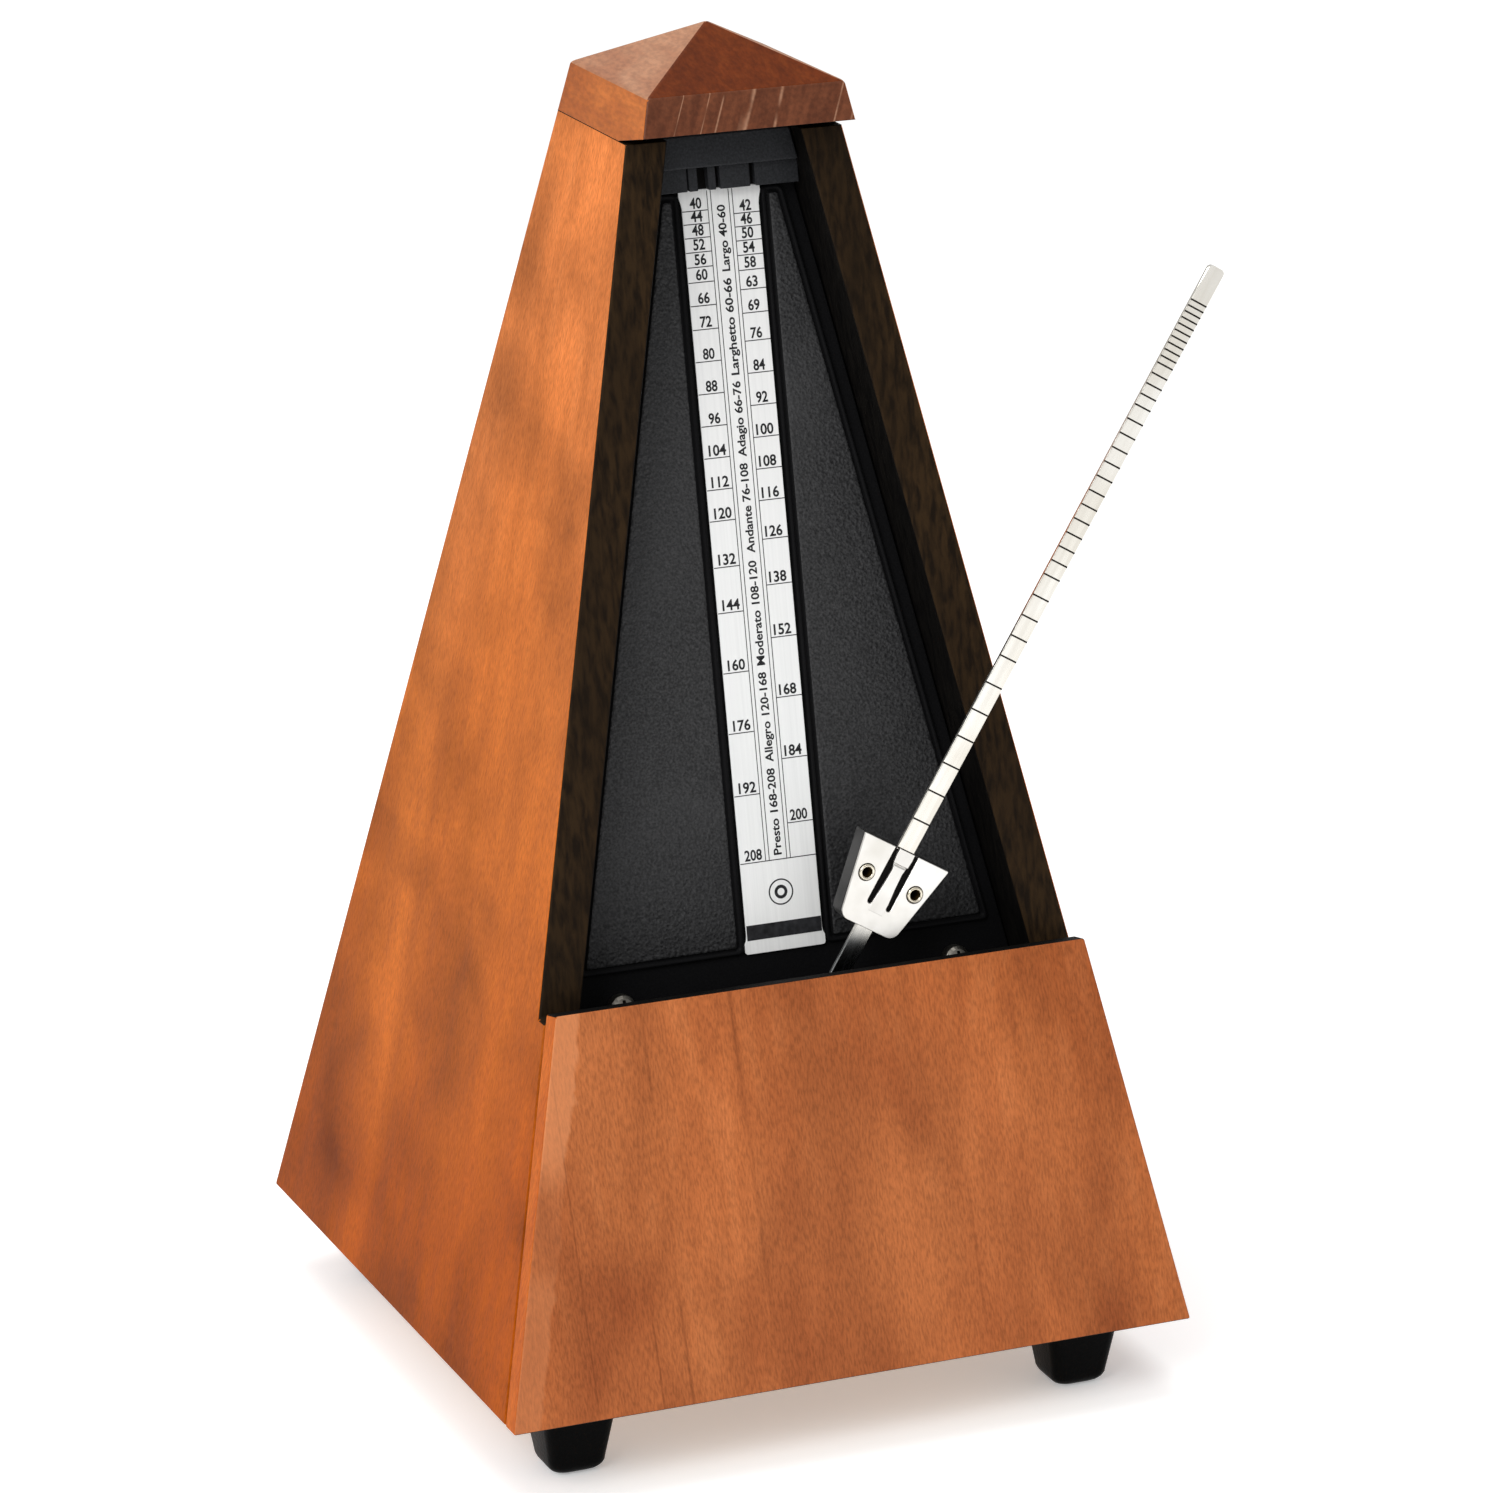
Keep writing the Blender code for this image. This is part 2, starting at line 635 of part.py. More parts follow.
def pendulum_works(pivot):
    """The arbor, its nut, the two pallets and the lower bob, about the pivot."""
    axle = (
        (SPIGOT_R, SPIGOT_FRONT),
        (SPIGOT_R, SHOULDER_FRONT),
        (ARBOR_SHOULDER_R, SHOULDER_FRONT),
        (ARBOR_SHOULDER_R, SHOULDER_BACK),
        (ARBOR_R, SHOULDER_BACK),
        (ARBOR_R, ARBOR_BACK),
    )
    turned("pendulum_arbor", (0, 0, 0), AXIS_Y, axle, "steel", pivot)
    hexagon = [(angle, NUT_R) for angle in full_turn(6)]
    edged_ring("arbor_nut", (0, 0, 0), AXIS_Y, hexagon, NUT_BORE, NUT_FRONT, NUT_BACK, "brass", pivot)
    for name, y, lean in PALLETS:
        toward_wheel = -math.pi / 2 + lean
        edge = []
        for step, angle in enumerate(full_turn(20)):
            reach = PALLET_REACH if step in (0, 1, 19) else PALLET_HUB_R
            edge.append((angle + toward_wheel, reach))
        edged_ring(name, (0, 0, 0), AXIS_Y, edge, HOLE_R, y - PALLET_HALF, y + PALLET_HALF, "steel", pivot)
    pendulum_bob(pivot)


def pendulum_bob(pivot):
    centre = (0, 0, -BOB_BELOW)
    face_r, side = BOB_R - BOB_CHAMFER, BOB_HALF - BOB_CHAMFER
    stations = ((face_r, -BOB_HALF), (BOB_R, -side), (BOB_R, side), (face_r, BOB_HALF))
    bob = turned("pendulum_bob", centre, AXIS_Y, stations, "steel", pivot, steps=40)
    slot_x = ROD_HALF + GAP
    slot_y = ROD_HALF_THICKNESS + GAP
    reach = BOB_R + CUT
    low, high = (-slot_x, -slot_y, -BOB_BELOW - reach), (slot_x, slot_y, -BOB_BELOW + reach)
    slot = block("bob_slot", low, high, None, pivot)
    combine(bob, hide(slot), "DIFFERENCE")
    hole = cylinders("bob_hole", [(centre, HOLE_R, -BOB_HALF - CUT, 0.0)], AXIS_Y)
    hole.parent = pivot
    combine(bob, hole, "DIFFERENCE")
    front = -BOB_HALF - GAP
    screw = (
        (SCREW_HEAD_TOP_R, front - SCREW_HEAD_TOP),
        (SCREW_HEAD_R, front - SCREW_HEAD_RIM),
        (SCREW_HEAD_R, front),
        (SCREW_R, front),
        (SCREW_R, -slot_y),
    )
    turned("bob_screw", centre, AXIS_Y, screw, "steel", pivot)


def weight_half(down):
    share = down / WEIGHT_LENGTH
    return WEIGHT_TOP_HALF + (WEIGHT_BOTTOM_HALF - WEIGHT_TOP_HALF) * share


def weight_bottom_corner():
    """(down, half width) points from the straight side round to the lower edge."""
    points = []
    for step in range(5):
        turn = step * math.pi / 8
        down = WEIGHT_LENGTH - WEIGHT_CORNER * (1 - math.sin(turn))
        points.append((down, weight_half(down) - WEIGHT_CORNER * (1 - math.cos(turn))))
    return points


def sliding_weight(carrier):
    front = -ROD_HALF_THICKNESS - THIN_GAP
    right = [(SLOT_CENTRE + SLOT_HALF, 0.0), (weight_half(0.0), 0.0)]
    right += [(half, -down) for down, half in weight_bottom_corner()]
    slot = [
        (SLOT_CENTRE - SLOT_HALF, 0.0),
        (SLOT_CENTRE - SLOT_HALF, -SLOT_LENGTH),
        (SLOT_CENTRE + SLOT_HALF, -SLOT_LENGTH),
    ]
    half_outline = slot + right
    outline = half_outline + [(-x, z) for x, z in reversed(half_outline)]
    loops = [[(x, y, z) for x, z in outline] for y in (front - PLATE_THICKNESS, front)]
    plate = loft("weight_plate", loops, "nickel", carrier)

    channel = ROD_HALF + GAP
    floor = ROD_HALF_THICKNESS + THIN_GAP
    loops = []
    for down, half in [(0.0, weight_half(0.0))] + weight_bottom_corner():
        section = (
            (-half, -ROD_HALF_THICKNESS),
            (-channel, -ROD_HALF_THICKNESS),
            (-channel, floor),
            (channel, floor),
            (channel, -ROD_HALF_THICKNESS),
            (half, -ROD_HALF_THICKNESS),
            (half, BLOCK_BACK),
            (-half, BLOCK_BACK),
        )
        loops.append([(x, y, -down) for x, y in section])
    body = loft("weight_block", loops, "nickel", carrier)

    spots = [(side * EYELET_X, 0, -EYELET_DOWN) for side in (-1, 1)]
    hole_r, back = EYELET_BARREL + THIN_GAP, BLOCK_BACK + CUT
    holes = cylinders("weight_holes", [(spot, hole_r, front - CUT, back) for spot in spots], AXIS_Y)
    holes.parent = carrier
    combine(plate, holes, "DIFFERENCE")
    combine(body, holes, "DIFFERENCE")
    face = front - PLATE_THICKNESS - THIN_GAP
    profile = (
        (EYELET_BORE, face - EYELET_RIM),
        (EYELET_R - EYELET_RIM_SIDE, face - EYELET_RIM),
        (EYELET_R, face - EYELET_RIM_SIDE),
        (EYELET_R, face),
        (EYELET_BARREL, face),
        (EYELET_BARREL, BLOCK_BACK),
        (EYELET_BORE, BLOCK_BACK),
    )
    for name, spot in zip(("left", "right"), spots):
        turned_ring("weight_eyelet_" + name, spot, AXIS_Y, profile, "brass", carrier, steps=20)


def on_train(axis_point):
    return (0.0, axis_point[0], axis_point[1])


def middle_axis():
    """Where both gear distances meet, on the lower side of the line from barrel to escape wheel."""
    first = GREAT_MODULE * (GREAT_TEETH + FIRST_PINION) / 2
    second = MIDDLE_MODULE * (MIDDLE_TEETH + LAST_PINION) / 2
    start = Vector(BARREL_AXIS)
    span = Vector(ESCAPE_AXIS) - start
    reach = (first**2 - second**2 + span.length_squared) / (2 * span.length)
    aside = math.sqrt(first**2 - reach**2)
    direction = span.normalized()
    spot = start + direction * reach + Vector((-direction.y, direction.x)) * aside
    return (spot.x, spot.y)


def angle_to(start, end):
    return math.atan2(end[1] - start[1], end[0] - start[0])


def tooth_edge(teeth, module, phase, root_share):
    """(angle, radius) round a toothed wheel whose first tooth is centred on phase."""
    pitch = 2 * math.pi / teeth
    middle = teeth * module / 2
    tip = middle + ADDENDUM * module
    root = middle - DEDENDUM * module
    edge = []
    for tooth in range(teeth):
        centre = phase + tooth * pitch
        edge.append((centre - root_share * pitch / 2, root))
        edge.append((centre - TIP_SHARE * pitch / 2, tip))
        edge.append((centre + TIP_SHARE * pitch / 2, tip))
        edge.append((centre + root_share * pitch / 2, root))
    return edge


def toothed_arbor(name, edge, ends, thin, pinion, parent):
    """A steel arbor along X from end to end, cut with a pinion between the two places given by pinion."""
    left, right = ends
    low, high = pinion
    stations = ((thin, left), (thin, low), (None, low), (None, high), (thin, high), (thin, right))
    loops = []
    for radius, along in stations:
        loops.append([polar((0, 0, 0), AXIS_X, radius or r, angle, along) for angle, r in edge])
    return loft(name, loops, "steel", parent)


def pivot_empty(name, spot, parent=None):
    empty = bpy.data.objects.new(name, None)
    empty.location = Vector(spot) * MM
    empty.parent = parent
    bpy.context.scene.collection.objects.link(empty)
    return empty


def going_train():
    middle = middle_axis()
    origin = (0, 0, 0)
    barrel = pivot_empty("barrel_axis", on_train(BARREL_AXIS))
    toward = angle_to(BARREL_AXIS, middle)
    edge = tooth_edge(GREAT_TEETH, GREAT_MODULE, toward + math.pi / GREAT_TEETH, WHEEL_ROOT_SHARE)
    sides = (GREAT_WHEEL_LEFT, GREAT_WHEEL_RIGHT)
    edged_ring("great_wheel", origin, AXIS_X, edge, WINDING_R + GAP, *sides, "brass", barrel)
    barrel_drum(barrel)

    first = pivot_empty("intermediate_axis", on_train(middle))
    pinion = tooth_edge(FIRST_PINION, GREAT_MODULE, toward + math.pi, PINION_ROOT_SHARE)
    ends = (-PLATE_OUTER, PLATE_OUTER)
    toothed_arbor("intermediate_arbor", pinion, ends, MIDDLE_ARBOR_R, FIRST_PINION_SPAN, first)
    onward = angle_to(middle, ESCAPE_AXIS)
    edge = tooth_edge(MIDDLE_TEETH, MIDDLE_MODULE, onward + math.pi / MIDDLE_TEETH, WHEEL_ROOT_SHARE)
    sides = (MIDDLE_WHEEL_LEFT, MIDDLE_WHEEL_RIGHT)
    edged_ring("intermediate_wheel", origin, AXIS_X, edge, HOLE_R, *sides, "brass", first)

    escape = pivot_empty("escape_axis", on_train(ESCAPE_AXIS))
    pinion = tooth_edge(LAST_PINION, MIDDLE_MODULE, onward + math.pi, PINION_ROOT_SHARE)
    ends = (-PLATE_OUTER, ESCAPE_ARBOR_RIGHT)
    toothed_arbor("escape_arbor", pinion, ends, ESCAPE_ARBOR_R, LAST_PINION_SPAN, escape)
    crown_wheel(escape)


def barrel_drum(barrel):
    """The drum, its lid and the spring inside."""
    origin = (0, 0, 0)
    inner = DRUM_R - DRUM_WALL
    bore = WINDING_R + GAP
    floor = DRUM_LEFT + DRUM_WALL
    drum = (
        (bore, DRUM_LEFT),
        (DRUM_R, DRUM_LEFT),
        (DRUM_R, DRUM_RIGHT),
        (inner, DRUM_RIGHT),
        (inner, floor),
        (bore, floor),
    )
    turned_ring("barrel_drum", origin, AXIS_X, drum, "brass", barrel, steps=48)
    lid_left = DRUM_RIGHT - LID_THICKNESS
    cover_r = inner - GAP
    lid = ((bore, lid_left), (cover_r, lid_left), (cover_r, DRUM_RIGHT), (bore, DRUM_RIGHT))
    turned_ring("barrel_cover", origin, AXIS_X, lid, "brass", barrel, steps=48)
    mainspring(barrel, inner - GAP, floor + GAP, lid_left - GAP)


def mainspring(parent, outer, low, high):
    per_turn = 20
    steps = SPRING_TURNS * per_turn
    inner = CORE_R + SPRING_OFF_CORE
    half = SPRING_HALF
    loops = []
    for step in range(steps + 1):
        angle = 2 * math.pi * step / per_turn
        radius = inner + (outer - half - inner) * step / steps
        section = ((radius - half, low), (radius + half, low), (radius + half, high), (radius - half, high))
        loops.append([polar((0, 0, 0), AXIS_X, r, angle, along) for r, along in section])
    return loft("mainspring", loops, "steel", parent)


def crown_wheel(parent):
    """A cup-shaped escape wheel whose pointed teeth face along +X."""
    pitch = 2 * math.pi / CROWN_TEETH
    loops = []
    for tooth in range(CROWN_TEETH):
        for share, top in CROWN_PROFILE:
            angle = (tooth + share) * pitch
            profile = (
                (HOLE_R, CROWN_LEFT),
                (CROWN_R, CROWN_LEFT),
                (CROWN_R, top),
                (CROWN_BORE_R, top),
                (CROWN_BORE_R, CROWN_DISC),
                (HOLE_R, CROWN_DISC),
            )
            loops.append([polar((0, 0, 0), AXIS_X, r, angle, along) for r, along in profile])
    return loft("crown_wheel", loops, "brass", parent, closed=True)


def winding_works():
    origin = (0, 0, 0)
    axis = pivot_empty("winding_axis", on_train(BARREL_AXIS))
    core_left = DRUM_LEFT + DRUM_WALL + GAP
    core_right = DRUM_RIGHT - LID_THICKNESS - GAP
    stations = (
        (WINDING_R, -PLATE_OUTER),
        (WINDING_R, core_left),
        (CORE_R, core_left),
        (CORE_R, core_right),
        (WINDING_R, core_right),
        (WINDING_R, WINDING_END),
    )
    turned("winding_arbor", origin, AXIS_X, stations, "steel", axis)
    bore = WINDING_R + GAP
    pitch = 2 * math.pi / RATCHET_TEETH
    edge = []
    for tooth in range(RATCHET_TEETH):
        edge.append((tooth * pitch, RATCHET_TIP_R))
        edge.append(((tooth + RATCHET_LEAN) * pitch, RATCHET_ROOT_R))
    edged_ring("ratchet_wheel", origin, AXIS_X, edge, bore, RATCHET_LEFT, RATCHET_RIGHT, "steel", axis)
    wing_turn = KEY_WING_HALF / KEY_WING
    hub_turn = math.asin(KEY_WING_HALF / KEY_HUB_R)
    edge = []
    for side in (0.0, math.pi):
        edge.append((side - wing_turn, KEY_WING))
        edge.append((side + wing_turn, KEY_WING))
        for step in range(9):
            edge.append((side + hub_turn + (math.pi - 2 * hub_turn) * step / 8, KEY_HUB_R))
    edged_ring("winding_key", origin, AXIS_X, edge, bore, KEY_LEFT, KEY_RIGHT, "brass", axis)
    bush = ((bore, BUSH_LEFT), (BUSH_R, BUSH_LEFT), (BUSH_R, BUSH_RIGHT), (bore, BUSH_RIGHT))
    turned_ring("key_bush", on_train(BARREL_AXIS), AXIS_X, bush, "brass", steps=24)


def click_works():
    axis = pivot_empty("click_axis", (0, *CLICK_PIVOT))
    toward = angle_to(CLICK_PIVOT, BARREL_AXIS) - CLICK_LEAN
    arc = [toward + CLICK_BOSS_START + CLICK_BOSS_TURN * step / 12 for step in range(13)]
    outline = [(CLICK_BOSS_R * math.cos(angle), CLICK_BOSS_R * math.sin(angle)) for angle in arc]
    for side in (-CLICK_HALF / CLICK_LENGTH, CLICK_HALF / CLICK_LENGTH):
        outline.append((CLICK_LENGTH * math.cos(toward + side), CLICK_LENGTH * math.sin(toward + side)))
    loops = [[(x, y, z) for y, z in outline] for x in (RATCHET_LEFT, RATCHET_RIGHT)]
    click = loft("click", loops, "steel", axis)
    bore = ((0, 0, 0), HOLE_R, RATCHET_LEFT - CUT, RATCHET_RIGHT + CUT)
    hole = cylinders("click_hole", [bore], AXIS_X)
    hole.parent = axis
    combine(click, hole, "DIFFERENCE")
    turned("click_screw", on_train(CLICK_PIVOT), AXIS_X, CLICK_SCREW, "steel")
    strip = []
    for step in range(9):
        share = step / 8
        y = CLICK_SPRING_START[0] + CLICK_SPRING_REACH[0] * share
        strip.append((y, CLICK_SPRING_START[1] + CLICK_SPRING_REACH[1] * share**2))
    outline = [(y, z - SPRING_HALF) for y, z in strip] + [(y, z + SPRING_HALF) for y, z in reversed(strip)]
    sides = (CLICK_SPRING_LEFT, CLICK_SPRING_RIGHT)
    loft("click_spring", [[(x, y, z) for y, z in outline] for x in sides], "steel")


def movement_frame():
    outer, inner = PLATE_OUTER, PLATE_OUTER - PLATE_THICK
    low = FOOT_HEIGHT + BOARD + GAP
    outline = (
        (-outer, FRAME_TOP),
        (-outer, low),
        (outer, low),
        (outer, FRAME_TOP),
        (inner, FRAME_TOP),
        (inner, low + PLATE_THICK),
        (-inner, low + PLATE_THICK),
        (-inner, FRAME_TOP),
    )
    loops = [[(x, y, z) for x, z in outline] for y in (FRAME_FRONT, FRAME_BACK)]
    frame = loft("movement_frame", loops, "steel")
    middle = middle_axis()
    both = (-outer - CUT, outer + CUT)
    holes = [
        (on_train(BARREL_AXIS), WINDING_R + GAP, *both),
        (on_train(middle), HOLE_R, *both),
        (on_train(ESCAPE_AXIS), HOLE_R, -outer - CUT, -inner + CUT),
        (on_train(CLICK_PIVOT), HOLE_R, inner - CUT, outer + CUT),
    ]
    combine(frame, cylinders("plate_holes", holes, AXIS_X), "DIFFERENCE")
    holes = [((x, y, 0), HOLE_R, low - CUT, low + PLATE_THICK + CUT) for x, y in FRAME_SCREWS]
    combine(frame, cylinders("frame_foot_holes", holes, AXIS_Z), "DIFFERENCE")
    for number, spot in enumerate(FRAME_SCREWS, 1):
        wood_screw(f"frame_screw_{number}", (*spot, low + PLATE_THICK + GAP), FRAME_SCREW_LENGTH)
    reach = inner - GAP
    for number, spot in enumerate(PILLARS, 1):
        turned(f"pillar_{number}", on_train(spot), AXIS_X, ((PILLAR_R, -reach), (PILLAR_R, reach)), "brass")
    for name, front, bottom in BRIDGES:
        back = front + BRIDGE_THICKNESS
        bridge = block(name, (-reach, front, bottom), (reach, back, FRAME_TOP), "brass")
        hole = cylinders(name + "_hole", [((0, 0, PIVOT_Z), HOLE_R, front - CUT, back + CUT)], AXIS_Y)
        combine(bridge, hole, "DIFFERENCE")
    escape_cock(outer)


def escape_cock(outer):
    """The bracket that carries the escape arbor's inner end, resting on the left plate."""
    low = FRAME_TOP + GAP
    high = low + BRIDGE_THICKNESS
    outline = (
        (-outer, low),
        (COCK_LEFT, low),
        (COCK_LEFT, COCK_BOTTOM),
        (COCK_RIGHT, COCK_BOTTOM),
        (COCK_RIGHT, high),
        (-outer, high),
    )
    cock = loft("escape_cock", [[(x, y, z) for x, z in outline] for y in (COCK_FRONT, COCK_BACK)], "brass")
    hole = (on_train(ESCAPE_AXIS), SCREW_R, COCK_LEFT - CUT, COCK_RIGHT + CUT)
    combine(cock, cylinders("cock_hole", [hole], AXIS_X), "DIFFERENCE")


def case():
    side_wall("left_wall", -1)
    right = side_wall("right_wall", 1)
    hole = cylinders("bush_hole", [(on_train(BARREL_AXIS), BUSH_R + GAP, BUSH_LEFT, HALF_BASE)], AXIS_X)
    combine(right, hole, "DIFFERENCE")
    back_wall()
    front_panel()
    top_cap()
    base_board()
    feet()


def pendulum():
    pivot = pivot_empty("pendulum_pivot", (0, PIVOT_Y, PIVOT_Z))
    pendulum_rod(pivot)
    pendulum_works(pivot)
    carrier = pivot_empty("weight_carrier", (0, 0, notch_radius(REST_TEMPO)), pivot)
    sliding_weight(carrier)
    pivot.rotation_euler.y = REST_TILT


def centre_on_footprint():
    """Moves everything so that the origin is below the middle of the whole outline, tilted rod included."""
    rod_reach = (ROD_TOP - ROD_CORNER) * math.sin(REST_TILT) + (ROD_HALF - ROD_CORNER) * math.cos(REST_TILT)
    rod_reach += ROD_CORNER
    shift = (HALF_BASE - rod_reach) / 2 * MM
    for obj in bpy.data.objects:
        if obj.parent is None:
            obj.location.x += shift


clear_scene()
case()
dial_plate()
scale_strip()
pendulum_catch()
dial_fixings()
movement_frame()
going_train()
winding_works()
click_works()
pendulum()
centre_on_footprint()
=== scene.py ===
import math

import bpy
from mathutils import Matrix, Vector


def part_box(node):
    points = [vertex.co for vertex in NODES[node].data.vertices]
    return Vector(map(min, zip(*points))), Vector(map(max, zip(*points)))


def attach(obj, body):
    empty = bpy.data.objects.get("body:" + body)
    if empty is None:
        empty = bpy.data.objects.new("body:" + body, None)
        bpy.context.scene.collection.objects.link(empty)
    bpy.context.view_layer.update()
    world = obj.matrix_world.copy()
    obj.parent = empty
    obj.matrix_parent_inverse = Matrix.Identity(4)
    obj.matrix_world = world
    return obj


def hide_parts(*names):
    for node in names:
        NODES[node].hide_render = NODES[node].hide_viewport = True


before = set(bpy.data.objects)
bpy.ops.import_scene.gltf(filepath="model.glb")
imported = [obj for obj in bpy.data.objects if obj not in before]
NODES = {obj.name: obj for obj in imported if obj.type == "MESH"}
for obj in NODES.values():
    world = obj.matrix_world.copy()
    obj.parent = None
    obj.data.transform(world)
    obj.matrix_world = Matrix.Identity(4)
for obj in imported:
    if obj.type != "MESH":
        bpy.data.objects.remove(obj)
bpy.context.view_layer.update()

# Lengths are millimetres in the case's own frame: x from its centre line, z from the surface it stands on.
MM = 0.001
PANEL_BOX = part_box("front_panel")
CASE_X = (PANEL_BOX[0].x + PANEL_BOX[1].x) / 2
CASE = Matrix.Translation((CASE_X, 0, 0)) @ Matrix.Scale(MM, 4)

FOOT_HEIGHT = 13.0
HALF_BASE = 58.0
TAPER = 0.21
SLOPE = math.atan(TAPER)
WALL = 7.0
BACK_WALL = 5.0
PANEL_THICKNESS = 4.0
PANEL_TOP = 62.4
SLOT_FLOOR = 59.9
SLOT_WIDTH = 2.5
SEAM = 189.7
RIDGE = 197.7
APEX = 205.7
GAP = 0.3
TIGHT_JOINT = 0.02
FOOT_OFFSET = 43.5

# The dial slopes with the case: along is a distance up the slope, and a recess is a depth behind the front.
DIAL_LOW, DIAL_HIGH = 56.0, 184.0
DIAL_RECESS = 16.2
DIAL_THICKNESS = 2.5
DIAL_MARGIN = 7.3
DIAL_PANEL_LOW = 63.4
DIAL_PANEL_INNER = 7.0
DIAL_PANEL_MARGIN = 9.6
CATCH_RECESS, CATCH_LIP_RECESS = 11.0, 13.0
CATCH_BACK_RECESS = 22.0
CATCH_FOOT, CATCH_LIP, CATCH_TOP = 184.3, 188.3, 193.5
STRIP_RECESS = 15.6
STRIP_THICKNESS = 0.3
STRIP_HALF = 6.5
STRIP_LOW = 63.3
BAND_LOW, BAND_HIGH = 65.5, 67.9
ORNAMENT_ALONG = 72.6
COLUMN_INNER = 2.12
WORDS_COLUMN = 1.5
LINE_HALF, COLUMN_LINE_HALF = 0.07, 0.06
PRINT_MARGIN = 0.05
PRINT_DEPTH = 0.03
PRINT_RECESS = STRIP_RECESS - PRINT_DEPTH / 2
PRINT_FRONT, PRINT_BACK = PRINT_RECESS - PRINT_DEPTH / 2, PRINT_RECESS + PRINT_DEPTH / 2
DIGIT_HEIGHT, DIGIT_WIDTH = 1.7, 0.98
DIGIT_ABOVE_LINE = 0.38
DIGIT_COLUMN = 4.15
WORD_HEIGHT = 1.35

PIVOT = (0.0, -37.0, 62.8)
REST_TILT = math.radians(31.07)
ROD_TOP, ROD_BOTTOM = 137.1, -36.0
ROD_HALF, ROD_HALF_THICKNESS = 1.6, 0.35
ROD_CORNER = 0.9
ROD_EDGE = 0.12
NOTCH_DEPTH, NOTCH_HALF = 0.12, 0.14

# Places of the tempo marks, in beats per minute and millimetres along the rod: part.py's formula.
GRAVITY_MM = 9810.0
BALANCE_TERM = 135.51
INERTIA_TERM = 8766.4
WEIGHT_TOP_ABOVE_CENTRE = 6.42
SCALE_AT_PIVOT = 56.27  # along the dial, the place that stands for a weight centred on the pivot
REST_TEMPO = 200
FASTEST_TEMPO = 208
LEFT_TEMPI = (40, 44, 48, 52, 56, 60, 66, 72, 80, 88, 96, 104, 112, 120, 132, 144, 160, 176, 192, 208)
RIGHT_TEMPI = (42, 46, 50, 54, 58, 63, 69, 76, 84, 92, 100, 108, 116, 126, 138, 152, 168, 184, 200)
TEMPO_WORDS = (
    ("Presto 168-208", 78.5, 92.3),
    ("Allegro 120-168", 93.3, 107.6),
    ("Moderato 108-120", 108.7, 125.3),
    ("Andante 76-108", 126.5, 140.7),
    ("Adagio 66-76", 141.7, 153.6),
    ("Larghetto 60-66", 154.6, 169.8),
    ("Largo 40-60", 170.9, 181.3),
)

WEIGHT_TOP_HALF, WEIGHT_BOTTOM_HALF = 8.3, 5.3
WEIGHT_LENGTH = 13.7
WEIGHT_CORNER = 1.4
PLATE_BACK = -0.55
PLATE_FRONT = PLATE_BACK - 0.45
BLOCK_BACK = 2.6
SLOT_OUT, SLOT_IN, SLOT_LENGTH = 2.3, 1.4, 9.9
EYELET_X, EYELET_DOWN = 4.8, 5.6
EYELET_R = 1.08

KEY_BORE = 2.35
KEY_HUB_R = 3.4
KEY_WING_R = 3.4
KEY_WING_EDGE = 3.45  # from the key's outer edge to the middle of a wing

# The photo's camera, in the case's frame.
VIEW_FROM = (-364.8, -899.4, 405.6)
VIEW_TOWARDS = (-1.5, -17.4, 105.4)
VIEW_ROLL = math.radians(-0.55)
LENS, SENSOR = 152.17, 36.0


# ---------------- materials


def srgb(red, green, blue):
    """A linear colour from 0-255 screen values."""
    linear = []
    for value in (red, green, blue):
        share = value / 255
        linear.append(share / 12.92 if share <= 0.04045 else ((share + 0.055) / 1.055) ** 2.4)
    return (*linear, 1.0)


